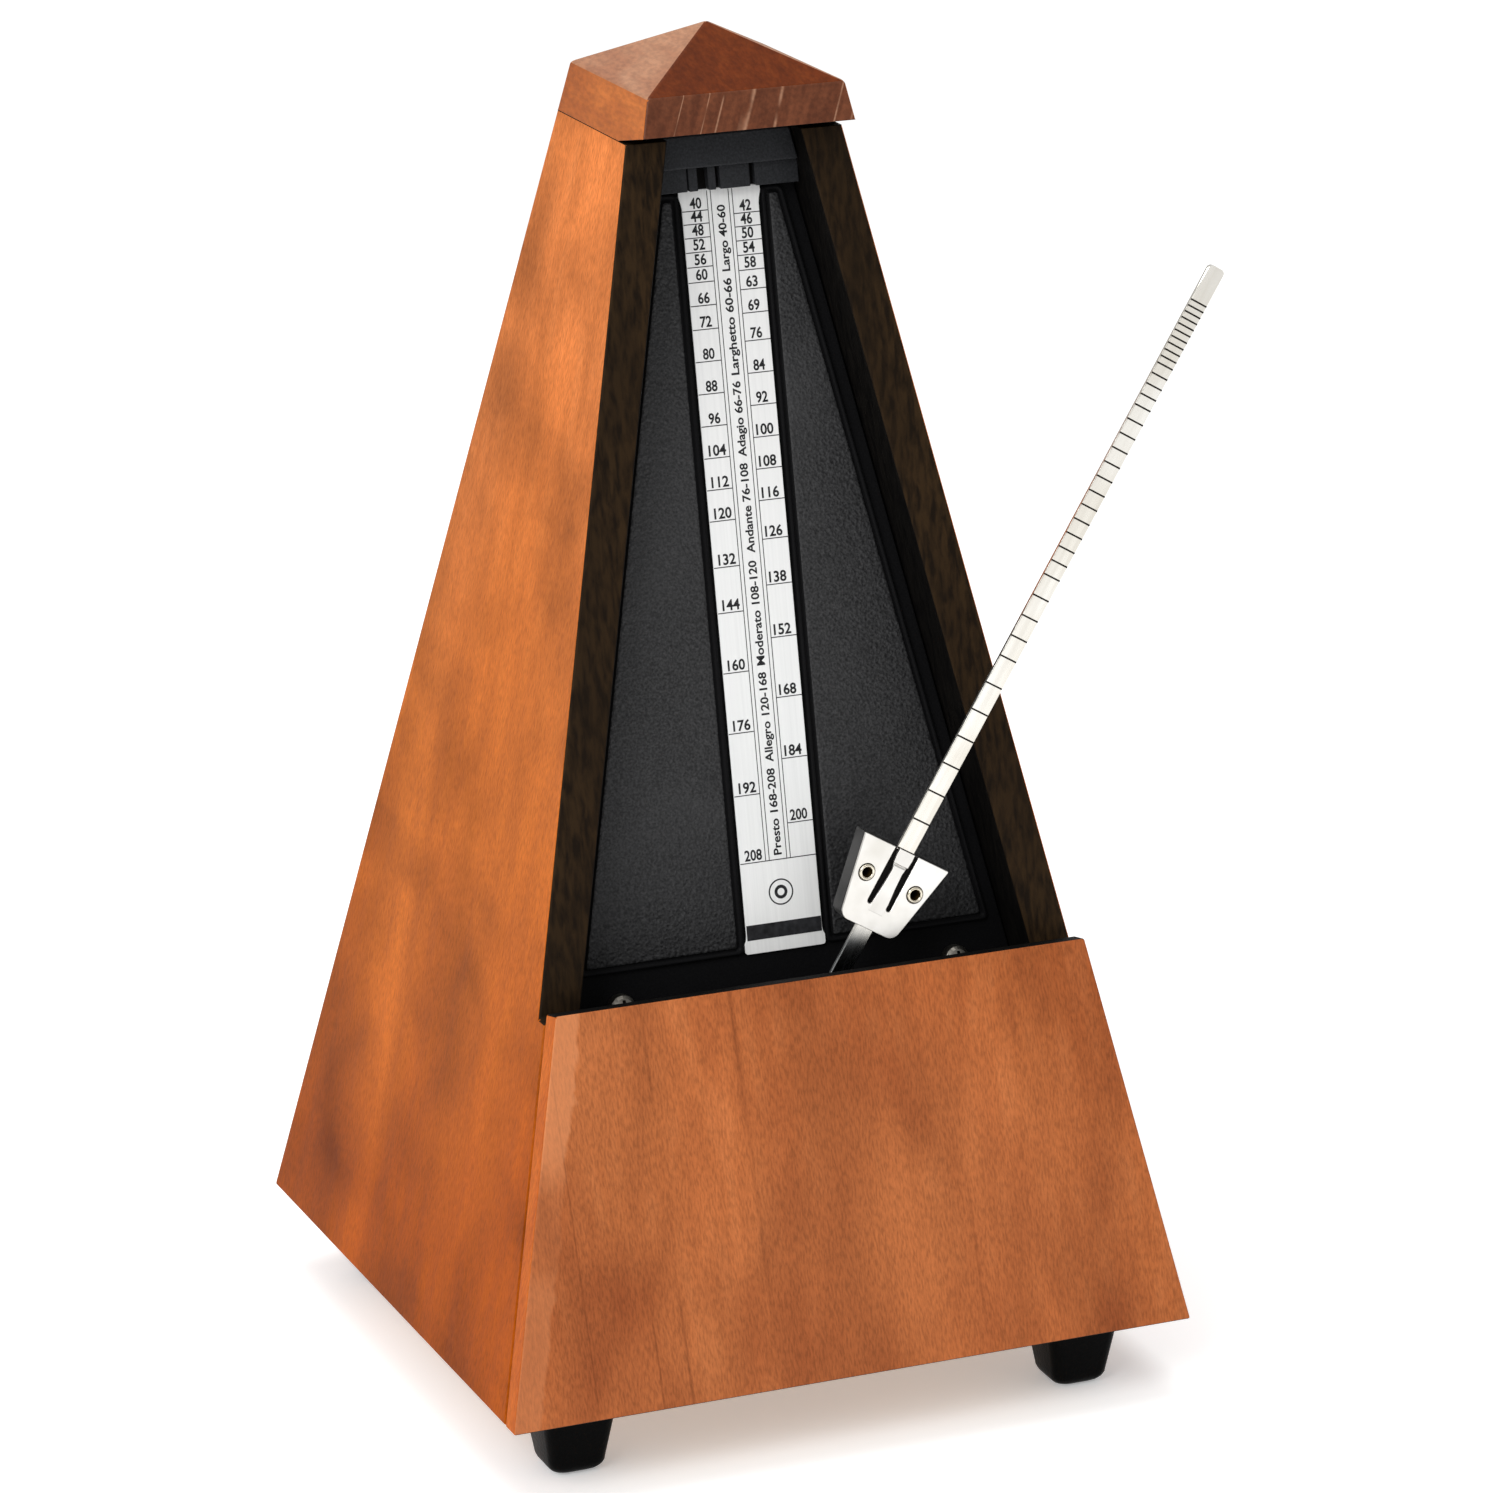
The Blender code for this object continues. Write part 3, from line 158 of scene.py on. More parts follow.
class Look:
    """A node material under construction. Coordinates are metres in the piece's own frame."""

    def __init__(self, name, roughness, metallic=0.0, specular=0.2):
        self.material = bpy.data.materials.new(name)
        self.material.use_nodes = True
        self.tree = self.material.node_tree
        self.shader = self.tree.nodes["Principled BSDF"]
        self.shader.inputs["Roughness"].default_value = roughness
        self.shader.inputs["Metallic"].default_value = metallic
        self.shader.inputs["Specular IOR Level"].default_value = specular
        self.place = self.node("TexCoord").outputs["Object"]

    def node(self, kind, **settings):
        made = self.tree.nodes.new("ShaderNode" + kind)
        for key, value in settings.items():
            setattr(made, key, value)
        return made

    def link(self, source, target):
        self.tree.links.new(source, target)

    def mapped(self, scale, offset=(0, 0, 0), turn=(0, 0, 0)):
        source = self.place
        if any(turn):
            turned = self.node("Mapping")
            turned.inputs["Rotation"].default_value = turn
            self.link(source, turned.inputs["Vector"])
            source = turned.outputs["Vector"]
        made = self.node("Mapping")
        made.inputs["Scale"].default_value = scale
        made.inputs["Location"].default_value = offset
        self.link(source, made.inputs["Vector"])
        return made.outputs["Vector"]

    def axes(self):
        made = self.node("SeparateXYZ")
        self.link(self.place, made.inputs["Vector"])
        return made.outputs

    def noise(self, scale, detail=2.0, offset=(0, 0, 0), distortion=0.0, turn=(0, 0, 0)):
        made = self.node("TexNoise")
        made.inputs["Scale"].default_value = 1.0
        made.inputs["Detail"].default_value = detail
        made.inputs["Distortion"].default_value = distortion
        self.link(self.mapped(scale, offset, turn), made.inputs["Vector"])
        return made.outputs["Fac"]

    def ramp(self, value, *stops):
        """A colour or grey ramp from (position, colour) stops."""
        made = self.node("ValToRGB")
        points = made.color_ramp.elements
        while len(points) < len(stops):
            points.new(0.5)
        for point, (position, colour) in zip(points, stops):
            point.position = position
            point.color = colour if isinstance(colour, tuple) else (colour, colour, colour, 1.0)
        self.link(value, made.inputs["Fac"])
        return made.outputs["Color"]

    def mix(self, share, first, second, kind="MIX"):
        made = self.node("Mix", data_type="RGBA", blend_type=kind)
        self.feed(share, made.inputs[0])
        self.feed(first, made.inputs[6])
        self.feed(second, made.inputs[7])
        return made.outputs[2]

    def math(self, operation, first, second=0.0, third=0.0):
        made = self.node("Math", operation=operation)
        for value, socket in zip((first, second, third), made.inputs):
            self.feed(value, socket)
        return made.outputs[0]

    def feed(self, value, socket):
        if isinstance(value, bpy.types.NodeSocket):
            self.link(value, socket)
        else:
            socket.default_value = value

    def colour(self, source):
        self.link(source, self.shader.inputs["Base Color"])

    def roughness(self, source, low, high):
        made = self.node("MapRange")
        made.inputs["To Min"].default_value = low
        made.inputs["To Max"].default_value = high
        self.link(source, made.inputs["Value"])
        self.link(made.outputs["Result"], self.shader.inputs["Roughness"])

    def bump(self, height, depth, strength=1.0):
        """Fine relief of that depth in metres."""
        made = self.node("Bump")
        made.inputs["Distance"].default_value = depth
        made.inputs["Strength"].default_value = strength
        self.link(height, made.inputs["Height"])
        self.link(made.outputs["Normal"], self.shader.inputs["Normal"])


def wood(
    name, base, dark, light, seed, lean=0.0, blotch=0.5, line=0.5, fibres=0.4,
    patches=(30, 30, 42), specular=0.12,
):
    """Stained, lacquered wood with its grain up the case."""
    roughness = 0.46
    look = Look(name, roughness, specular=specular)
    turn = (0.0, lean, 0.0)
    offset = (seed, seed * 1.7, seed * 0.6)
    fleck = look.noise((3400, 3400, 400), 5.0, offset, turn=turn)
    fibre = look.noise((300, 300, 5), 4.0, offset, 0.05, turn)
    cloud = look.noise(patches, 2.0, offset, 0.3)
    wide = look.noise((13, 13, 8), 1.0, (seed + 3, seed, seed), 0.3)
    body = look.mix(fibres, base, look.ramp(fibre, (0.34, dark), (0.5, base), (0.66, light)))
    glow = look.ramp(wide, (0.42, 0.0), (0.66, 0.6))
    body = look.mix(glow, body, light)
    shade = look.ramp(cloud, (0.42, 0.0), (0.56, 0.4), (0.76, 1.0))
    body = look.mix(look.math("MULTIPLY", shade, blotch), body, dark)
    rings = look.noise((75, 0.5, 0.0), 1.0, (seed + 7, seed, seed), 0.0, turn)
    thin = look.ramp(rings, (0.490, 0.0), (0.498, 1.0), (0.502, 1.0), (0.510, 0.0))
    broken = look.ramp(look.noise((60, 60, 22), 2.0, (seed, seed + 5, seed)), (0.46, 0.0), (0.6, 1.0))
    thin = look.math("MULTIPLY", look.math("MULTIPLY", thin, broken), line)
    body = look.mix(thin, body, tuple(0.5 * value for value in dark[:3]) + (1.0,))
    speck = look.ramp(fleck, (0.34, 0.74), (0.5, 1.0), (0.66, 1.2))
    look.colour(look.mix(0.85, body, speck, "MULTIPLY"))
    look.roughness(fibre, roughness - 0.06, roughness + 0.1)
    look.bump(look.math("ADD", look.math("MULTIPLY", fleck, 0.6), fibre), 0.00005, 0.5)
    return look


def side_wood(name, seed):
    """The walls: brighter towards the top and the front, in soft streaks and clouds."""
    base, dark, light = srgb(197, 113, 58), srgb(134, 74, 36), srgb(214, 132, 78)
    look = wood(name, base, dark, light, seed, blotch=0.92, line=0.16, fibres=0.2, specular=0.03)
    body = look.shader.inputs["Base Color"].links[0].from_socket
    axes = look.axes()
    rise = look.math("MULTIPLY_ADD", look.noise((18, 18, 6), 1.0, (seed, 4.0, 1.0)), 0.5, axes["Z"])
    rise = look.math("MULTIPLY_ADD", axes["Z"], 3.0, rise)
    low, middle, high = (0.6, 0.4, 0.07, 1.0), (0.88, 0.76, 0.42, 1.0), (1.04, 1.04, 1.04, 1.0)
    body = look.mix(1.0, body, look.ramp(rise, (0.36, low), (0.62, middle), (0.92, high)), "MULTIPLY")
    edge = look.math("MULTIPLY_ADD", axes["Z"], -TAPER, (HALF_BASE + TAPER * FOOT_HEIGHT) * MM)
    behind = look.math("MULTIPLY", look.math("ADD", axes["Y"], edge), 12.0)
    body = look.mix(1.0, body, look.ramp(behind, (0.1, 1.02), (0.5, 0.94)), "MULTIPLY")
    streak = look.noise((30, 62, 2.4), 1.0, (seed, 2.0, 6.0), 0.2)
    streaks = look.ramp(streak, (0.36, 0.92), (0.52, 1.0), (0.66, 1.16))
    look.colour(look.mix(1.0, body, streaks, "MULTIPLY"))
    return look.material


def panel_wood():
    """The front board: fine flecks, thin dark lines and a paler strip of sapwood down its left edge."""
    base, dark, light = srgb(160, 86, 42), srgb(124, 60, 28), srgb(180, 106, 60)
    grain = {"lean": 0.05, "blotch": 0.85, "line": 0.42, "fibres": 0.42, "patches": (52, 52, 20)}
    look = wood("front_wood", base, dark, light, 4.3, **grain)
    body = look.shader.inputs["Base Color"].links[0].from_socket
    axes = look.axes()
    half_at_zero = (HALF_BASE + TAPER * FOOT_HEIGHT) * MM
    half = look.math("MULTIPLY_ADD", axes["Z"], -TAPER, half_at_zero - CASE_X)
    from_edge = look.math("ADD", axes["X"], half)
    waver = look.noise((90, 90, 110), 3.0, (2.0, 1.0, 5.0), 1.0)
    edge = look.math("MULTIPLY_ADD", waver, 0.004, from_edge)
    pale = look.ramp(look.math("MULTIPLY", edge, 50.0), (0.30, 1.0), (0.33, 0.0))
    climb = look.math("MULTIPLY_ADD", axes["Z"], 1 / (PANEL_TOP * MM), -FOOT_HEIGHT / PANEL_TOP)
    climb = look.math("MULTIPLY_ADD", waver, 0.06, climb)
    stretch = look.ramp(climb, (0.36, 0.55), (0.42, 0.2), (0.6, 0.2), (0.7, 1.0))
    pale = look.math("MULTIPLY", look.math("MULTIPLY", pale, stretch), 0.42)
    mottle = look.noise((75, 75, 16), 2.0, (8.0, 3.0, 2.0), 0.4)
    figure = look.ramp(mottle, (0.36, 0.93), (0.5, 1.0), (0.66, 1.13))
    body = look.mix(1.0, body, figure, "MULTIPLY")
    look.colour(look.mix(pale, body, srgb(214, 142, 96)))
    return look.material


def stained_wood(name, tone, streak, seed):
    """Raw or dark stained wood: open grain, no lacquer."""
    roughness = 0.6
    look = Look(name, roughness, specular=0.07)
    grain = look.noise((1100, 1100, 130), 4.0, (seed, seed, seed), 0.3)
    wide = look.noise((60, 60, 12), 2.0, (seed + 2, seed, seed))
    body = look.ramp(grain, (0.35, tone), (0.62, streak))
    look.colour(look.mix(look.ramp(wide, (0.4, 0.0), (0.7, 0.7)), body, tone))
    look.roughness(grain, roughness - 0.1, roughness + 0.15)
    look.bump(grain, 0.00012, 0.7)
    return look.material


def cap_wood(name, tone, dark, streak, kind, seed, specular=0.2):
    """The cap's board has its grain from front to back, so its ends drink more stain."""
    look = Look(name, 0.42, specular=specular)
    if kind == "end":
        turn = (0.0, -0.36, 0.0)
        relief = look.noise((700, 90, 150), 3.0, (seed, 1, 1), turn=turn)
        body = look.ramp(relief, (0.35, dark), (0.68, tone))
        rays = look.noise((270, 1, 3), 0.0, (seed, 0, 0), 0.0, turn)
        thin = look.ramp(rays, (0.475, 0.0), (0.496, 1.0), (0.504, 1.0), (0.525, 0.0))
        broken = look.ramp(look.noise((200, 1, 150), 1.0, (seed, 4, 2)), (0.4, 0.0), (0.52, 1.0))
        body = look.mix(look.math("MULTIPLY", look.math("MULTIPLY", thin, broken), 0.45), body, streak)
    else:
        relief = look.noise((520, 40, 520), 4.0, (seed, seed, seed), 0.2)
        cloud = look.noise((90, 50, 90), 2.0, (seed + 4, seed, seed), 0.5)
        body = look.mix(0.5, tone, look.ramp(relief, (0.3, dark), (0.52, tone), (0.75, streak)))
        body = look.mix(look.ramp(cloud, (0.46, 0.0), (0.66, 0.7)), body, dark)
    speck = look.ramp(look.noise((1500, 600, 1500), 3.0, (seed, 2, 3)), (0.36, 0.8), (0.64, 1.12))
    look.colour(look.mix(0.85, body, speck, "MULTIPLY"))
    look.roughness(relief, 0.36, 0.54)
    look.bump(relief, 0.00005, 0.5)
    return look.material


def plastic(name, tone, pale, grain, depth, roughness, seed, specular):
    """Black moulded plastic with its moulded texture, dusty patches and a few rubbed spots."""
    look = Look(name, roughness, specular=specular)
    cells = look.node("TexVoronoi")
    cells.inputs["Scale"].default_value = 1.0
    look.link(look.mapped((grain, grain, grain), (seed, seed, seed)), cells.inputs["Vector"])
    fine = look.noise((grain * 1.7, grain * 1.7, grain * 1.7), 3.0, (seed, 1, 2))
    height = look.math("ADD", cells.outputs["Distance"], fine)
    dust = look.noise((35, 35, 35), 3.0, (seed + 1, seed, seed), 0.5)
    body = look.mix(look.ramp(fine, (0.35, 0.0), (0.75, 0.8)), tone, pale)
    look.colour(look.mix(look.ramp(dust, (0.45, 0.0), (0.8, 0.35)), body, pale))
    look.roughness(dust, roughness - 0.08, roughness + 0.12)
    look.bump(height, depth, 0.6)
    return look.material


def metal(name, tone, shade, roughness, brushed, seed):
    """Metal with fine directional wear and slightly clouded plating."""
    look = Look(name, roughness, metallic=1.0)
    lines = look.noise(brushed, 3.0, (seed, seed, seed))
    cloud = look.noise((120, 120, 120), 3.0, (seed + 2, 1, 1), 0.4)
    body = look.mix(look.ramp(cloud, (0.35, 0.0), (0.75, 1.0)), tone, shade)
    look.colour(look.mix(look.ramp(lines, (0.4, 0.0), (0.7, 0.3)), body, shade))
    look.roughness(lines, roughness - 0.05, roughness + 0.12)
    look.bump(lines, 0.00001, 0.35)
    return look.material


def rod_metal():
    """The rod: bright nickel, with painted shade and a painted dark reflection on the end that stays down in
    the case.
    """
    look = Look("rod_nickel", 0.26, 1.0)
    lines = look.noise((900, 900, 30), 3.0, (1.0, 1.0, 1.0))
    cloud = look.noise((160, 160, 60), 3.0, (3.0, 1.0, 1.0), 0.4)
    axes = look.axes()
    height = look.math("MULTIPLY_ADD", axes["Z"], 1 / (60 * MM), 0.5)
    clouded = look.ramp(cloud, (0.35, 0.0), (0.75, 1.0))
    body = look.mix(clouded, srgb(240, 238, 232), srgb(222, 217, 206))
    body = look.mix(look.ramp(lines, (0.4, 0.0), (0.7, 0.35)), body, srgb(202, 196, 184))
    # Painted shade and dark reflection: the rod darkens from about 20 mm above the pivot to its darkest at
    # the pivot and below.
    rod_shade_tone, rod_half_shade_tone, bright = srgb(36, 38, 41), srgb(128, 131, 136), srgb(255, 255, 255)
    low = look.ramp(height, (0.5, rod_shade_tone), (0.78, rod_half_shade_tone), (0.84, bright))
    look.colour(look.mix(1.0, body, low, "MULTIPLY"))
    look.roughness(lines, 0.2, 0.36)
    look.bump(lines, 0.00001, 0.35)
    return look.material


def strip_metal():
    """The scale: satin metal, with painted light making it a little lighter towards its foot."""
    look = Look("scale_metal", 0.4, 0.12)
    lines = look.noise((2600, 60, 30), 3.0)
    axes = look.axes()
    height = look.math("MULTIPLY", axes["Z"], 4.0)
    # Painted light: the foot of the strip is made paler to lift the shade that the case walls cast on it.
    foot, middle, top = srgb(252, 252, 250), srgb(236, 237, 236), srgb(236, 236, 235)
    tone = look.ramp(height, (0.28, foot), (0.4, middle), (0.62, top))
    look.colour(look.mix(look.ramp(lines, (0.35, 0.0), (0.75, 0.25)), tone, srgb(206, 207, 207)))
    look.roughness(lines, 0.3, 0.46)
    look.bump(lines, 0.000008, 0.4)
    return look.material


def ink():
    look = Look("scale_ink", 0.5)
    worn = look.noise((900, 900, 900), 3.0)
    look.colour(look.ramp(worn, (0.3, srgb(20, 20, 22)), (0.8, srgb(52, 52, 55))))
    look.roughness(worn, 0.4, 0.6)
    look.bump(worn, 0.000005, 0.4)
    return look.material


def pale_floor():
    look = Look("studio_floor", 0.9)
    look.shader.inputs["Emission Color"].default_value = (1.0, 1.0, 1.0, 1.0)
    look.shader.inputs["Emission Strength"].default_value = 0.3
    cloud = look.noise((3, 3, 3), 2.0)
    look.colour(look.ramp(cloud, (0.3, srgb(248, 248, 248)), (0.7, srgb(252, 252, 252))))
    return look.material


SIDE_WOOD = side_wood("side_wood", 1.9)
BACK_WOOD = side_wood("back_wood", 8.2)
FRONT_WOOD = panel_wood()
EDGE_TONES = (srgb(178, 88, 24), srgb(150, 66, 12), srgb(196, 106, 38))
EDGE_WOOD = wood("panel_edge_wood", *EDGE_TONES, 2.2, specular=0.05).material
DARK_EDGE = stained_wood("stained_edge", srgb(22, 14, 6), srgb(48, 34, 18), 1.0)
# Near-black wood: a real blackening on the front board's rebate, darkened further as painted shade on the
# case's inside faces, and used as painted shade alone for the sheet behind the weight's slots and the plugs
# in the rivets.
BLACK_STAIN_AND_SHADE = stained_wood("black_stain_and_painted_shade", srgb(8, 7, 7), srgb(18, 16, 14), 3.0)
CAP_SIDE = cap_wood("cap_side", srgb(178, 98, 38), srgb(142, 70, 22), srgb(196, 116, 54), "side", 1.5)
# The side slopes' pale pinkish tones are a painted sheen on the same side-grain wood as the cap's sides.
CAP_PAINTED_SHEEN_SLOPE_TONES = (srgb(168, 118, 86), srgb(148, 92, 60), srgb(182, 134, 104))
CAP_PAINTED_SHEEN_SLOPE = cap_wood("cap_painted_sheen_slope", *CAP_PAINTED_SHEEN_SLOPE_TONES, "side", 5.1, 0.4)
CAP_END = cap_wood("cap_end", srgb(108, 60, 37), srgb(88, 46, 27), srgb(196, 150, 120), "end", 2.7)
# The front and back slopes' dark tones are partly end grain taking more stain and partly painted shade.
CAP_END_GRAIN_AND_SHADE_TONES = (srgb(98, 42, 12), srgb(78, 32, 10), srgb(120, 58, 22))
CAP_END_GRAIN_AND_SHADE_SLOPE = cap_wood("cap_end_grain_and_painted_shade_slope", *CAP_END_GRAIN_AND_SHADE_TONES, "side", 9.4, 0.06)
RAW_WOOD = stained_wood("raw_wood", srgb(150, 112, 72), srgb(190, 150, 104), 6.0)
DIAL_GRAIN = plastic("dial_grain", srgb(27, 27, 28), srgb(64, 64, 65), 1500, 0.00028, 0.5, 0.0, 0.25)
# The smooth ground is black plastic made darker still as painted shade in the dial's recess.
DIAL_SMOOTH_AND_SHADE = plastic("dial_smooth_and_painted_shade", srgb(14, 14, 15), srgb(22, 22, 23), 2600, 0.00002, 0.42, 2.0, 0.04)
FOOT_BLACK = plastic("foot_black", srgb(4, 4, 4), srgb(10, 10, 10), 1800, 0.00004, 0.34, 4.0, 0.03)
CATCH_BLACK = plastic("catch_black", srgb(34, 35, 37), srgb(50, 51, 54), 1800, 0.00006, 0.5, 6.0, 0.15)
STRIP = strip_metal()
INK = ink()
NICKEL = rod_metal()
WEIGHT_NICKEL = metal("weight_nickel", srgb(238, 236, 232), srgb(220, 217, 210), 0.3, (500, 500, 500), 2.0)
TONGUE_NICKEL = metal("tongue_nickel", srgb(240, 238, 234), srgb(214, 211, 205), 0.32, (700, 700, 90), 5.0)
DARK_NICKEL = metal("weight_side", srgb(92, 91, 91), srgb(56, 55, 55), 0.42, (300, 300, 60), 3.0)
# The faces inside the rod's notches: painted shade that draws each notch as a dark line.
NOTCH_PAINTED_SHADE = metal("notch_painted_shade", srgb(70, 66, 60), srgb(46, 43, 40), 0.55, (600, 600, 600), 4.0)
EYELET = metal("eyelet_metal", srgb(236, 230, 214), srgb(204, 194, 170), 0.22, (500, 500, 500), 6.0)
EYELET_IN = metal("eyelet_inside", srgb(84, 66, 34), srgb(34, 26, 14), 0.5, (800, 800, 800), 7.0)
EYELET_SHADOW_RING = metal("eyelet_shadow", srgb(52, 46, 36), srgb(30, 26, 20), 0.6, (800, 800, 800), 7.5)
SCREW = metal("screw_nickel", srgb(150, 146, 138), srgb(86, 82, 76), 0.32, (400, 400, 400), 8.0)
BRASS = metal("movement_brass", srgb(206, 168, 96), srgb(170, 132, 70), 0.32, (300, 300, 300), 9.0)
STEEL = metal("movement_steel", srgb(168, 170, 172), srgb(124, 126, 128), 0.36, (260, 260, 700), 10.0)
DARK_STEEL = metal("blued_steel", srgb(88, 90, 96), srgb(62, 63, 68), 0.34, (200, 200, 200), 11.0)


# ---------------- shapes


def new_object(name, data):
    made = bpy.data.objects.new(name, data)
    bpy.context.scene.collection.objects.link(made)
    return made


def solid_mesh(name, points, faces):
    """A closed mesh with its faces turned outwards."""
    mesh = bpy.data.meshes.new(name)
    mesh.from_pydata([Vector(point) for point in points], [], faces)
    mesh.calc_loop_triangles()
    spots = [vertex.co for vertex in mesh.vertices]
    corners = (triangle.vertices for triangle in mesh.loop_triangles)
    if sum(spots[a].dot(spots[b].cross(spots[c])) for a, b, c in corners) < 0:
        mesh.flip_normals()
    return mesh


def add_piece(name, points, faces, looks, body, frame_matrix=CASE, pick=None, sharp=30):
    """A piece from points in its own millimetre frame. pick(face number) chooses among its materials."""
    mesh = solid_mesh(name, points, faces)
    for look in looks:
        mesh.materials.append(look)
    if pick:
        for number, polygon in enumerate(mesh.polygons):
            polygon.material_index = pick(number)
    piece = new_object(name, mesh)
    location, rotation, scale = frame_matrix.decompose()
    mesh.transform(Matrix.Diagonal((*scale, 1.0)))
    if frame_matrix is CASE:
        mesh.transform(Matrix.Translation(location))
    else:
        piece.matrix_world = Matrix.LocRotScale(location, rotation, None)
    mesh.shade_smooth()
    mesh.set_sharp_from_angle(angle=math.radians(sharp))
    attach(piece, body)
    return piece


def loft_faces(count, size, closed):
    faces = []
    for i in range(count if closed else count - 1):
        low = i * size
        high = (i + 1) % count * size
        for j in range(size):
            k = (j + 1) % size
            faces.append((low + j, low + k, high + k, high + j))
    if not closed:
        faces.append(tuple(reversed(range(size))))
        faces.append(tuple((count - 1) * size + j for j in range(size)))
    return faces


def loft(name, loops, looks, body, closed=False, **more):
    points = [point for loop in loops for point in loop]
    return add_piece(name, points, loft_faces(len(loops), len(loops[0]), closed), looks, body, **more)


def soften(piece, width, segments=3, crisp=None):
    """Rounded edges of that many millimetres, or a fifth of it where crisp is true of both ends' heights."""
    bevel = piece.modifiers.new("edges", "BEVEL")
    bevel.width = width * MM
    bevel.segments = segments
    bevel.limit_method = "ANGLE"
    bevel.angle_limit = math.radians(25)
    bevel.harden_normals = True
    if crisp:
        bevel.limit_method = "WEIGHT"
        weights = piece.data.attributes.new("bevel_weight_edge", "FLOAT", "EDGE")
        for edge, weight in zip(piece.data.edges, weights.data):
            heights = [piece.data.vertices[index].co.z / MM for index in edge.vertices]
            weight.value = 0.2 if all(crisp(height) for height in heights) else 1.0
    return piece


def joined(name, parts, looks, body):
    """One piece from several (points, faces) parts."""
    points = []
    faces = []
    for part_points, part_faces in parts:
        start = len(points)
        points += part_points
        faces += [tuple(start + index for index in face) for face in part_faces]
    return add_piece(name, points, faces, looks, body)


def case_point(side, recess, height, inset=0.0):
    x = side * (HALF_BASE - TAPER * height - inset)
    return (x, -HALF_BASE + recess + TAPER * height, FOOT_HEIGHT + height)


def back_point(side, depth, height, inset=0.0):
    x, y, z = case_point(side, depth, height, inset)
    return (x, -y, z)


def dial_point(x, along, recess):
    height = along * math.cos(SLOPE)
    return (x, -HALF_BASE + recess + TAPER * height, FOOT_HEIGHT + height)


def half_width(along, margin):
    return HALF_BASE - TAPER * along * math.cos(SLOPE) - margin


def full_turn(steps):
    return [2 * math.pi * i / steps for i in range(steps)]


# ---------------- case


def side_wall(name, side):
    front = PANEL_THICKNESS + GAP
    back = front + SLOT_WIDTH
    loops = []
    for inset in (0.0, WALL):
        loops.append([
            case_point(side, front, 0.0, inset),
            case_point(side, front, SLOT_FLOOR, inset),
            case_point(side, back, SLOT_FLOOR, inset),
            case_point(side, back, SEAM, inset),
            back_point(side, 0.0, SEAM, inset),
            back_point(side, 0.0, 0.0, inset),
        ])
    # The inner face takes the near-black wood: blackened, and darker still as painted shade.
    looks = [SIDE_WOOD, DARK_EDGE, BLACK_STAIN_AND_SHADE]
    by_face = {1: 1, 2: 1, 3: 1, 7: 2}
    wall = loft(name, loops, looks, "case", pick=lambda number: by_face.get(number, 0))
    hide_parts(name)
    return soften(wall, 0.45, crisp=lambda z: z > FOOT_HEIGHT + SEAM - 0.1)


def bore(piece, centre, radius, axis, reach):
    """Drills a round hole through the piece. All is in metres, and the centre is in the piece's own frame."""
    turn = Vector((0, 0, 1)).rotation_difference(Vector(axis)).to_matrix()
    steps = 48
    points = []
    for along in (-reach, reach):
        for angle in full_turn(steps):
            spot = Vector((radius * math.cos(angle), radius * math.sin(angle), along))
            points.append(Vector(centre) + turn @ spot)
    mesh = solid_mesh("drill", points, loft_faces(2, steps, False))
    drill = new_object("drill", mesh)
    bpy.context.view_layer.update()
    drill.matrix_world = piece.matrix_world
    cut = piece.modifiers.new("bore", "BOOLEAN")
    cut.operation = "DIFFERENCE"
    cut.solver = "EXACT"
    cut.object = drill
    bpy.context.view_layer.update()
    graph = bpy.context.evaluated_depsgraph_get()
    piece.data = bpy.data.meshes.new_from_object(piece.evaluated_get(graph))
    piece.modifiers.clear()
    bpy.data.objects.remove(drill)
    bpy.data.meshes.remove(mesh)


def key_hole(wall):
    low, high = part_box("key_bush")
    bore(wall, (low + high) / 2, (high.z - low.z) / 2 + GAP * MM, (1, 0, 0), 30 * MM)


def back_wall():
    """It fits tightly between the side walls, so that no light comes through the joints."""
    inset = WALL + TIGHT_JOINT
    loops = []
    for height in (0.0, SEAM):
        loops.append([
            back_point(-1, 0.0, height, inset),
            back_point(1, 0.0, height, inset),
            back_point(1, BACK_WALL, height, inset),
            back_point(-1, BACK_WALL, height, inset),
        ])
    # The inner face takes the near-black wood: blackened, and darker still as painted shade.
    looks = [BACK_WOOD, BLACK_STAIN_AND_SHADE]
    wall = loft("back_wall_board", loops, looks, "case", pick=lambda number: int(number == 2))
    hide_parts("back_wall")
    soften(wall, 0.4, crisp=lambda z: z > FOOT_HEIGHT + SEAM - 0.1)


def front_panel():
    back_top = PANEL_TOP - PANEL_THICKNESS * TAPER
    corners = ((0.0, 0.0), (0.0, PANEL_TOP), (PANEL_THICKNESS, back_top), (PANEL_THICKNESS, 0.0))
    loops = [[case_point(side, recess, height) for recess, height in corners] for side in (-1, 1)]
    looks = [FRONT_WOOD, DARK_EDGE, BLACK_STAIN_AND_SHADE, EDGE_WOOD]
    by_face = {0: 0, 1: 2, 2: 2, 3: 1, 4: 3, 5: 3}
    panel = loft("front_board", loops, looks, "case", pick=by_face.get)
    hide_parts("front_panel")
    soften(panel, 0.35)


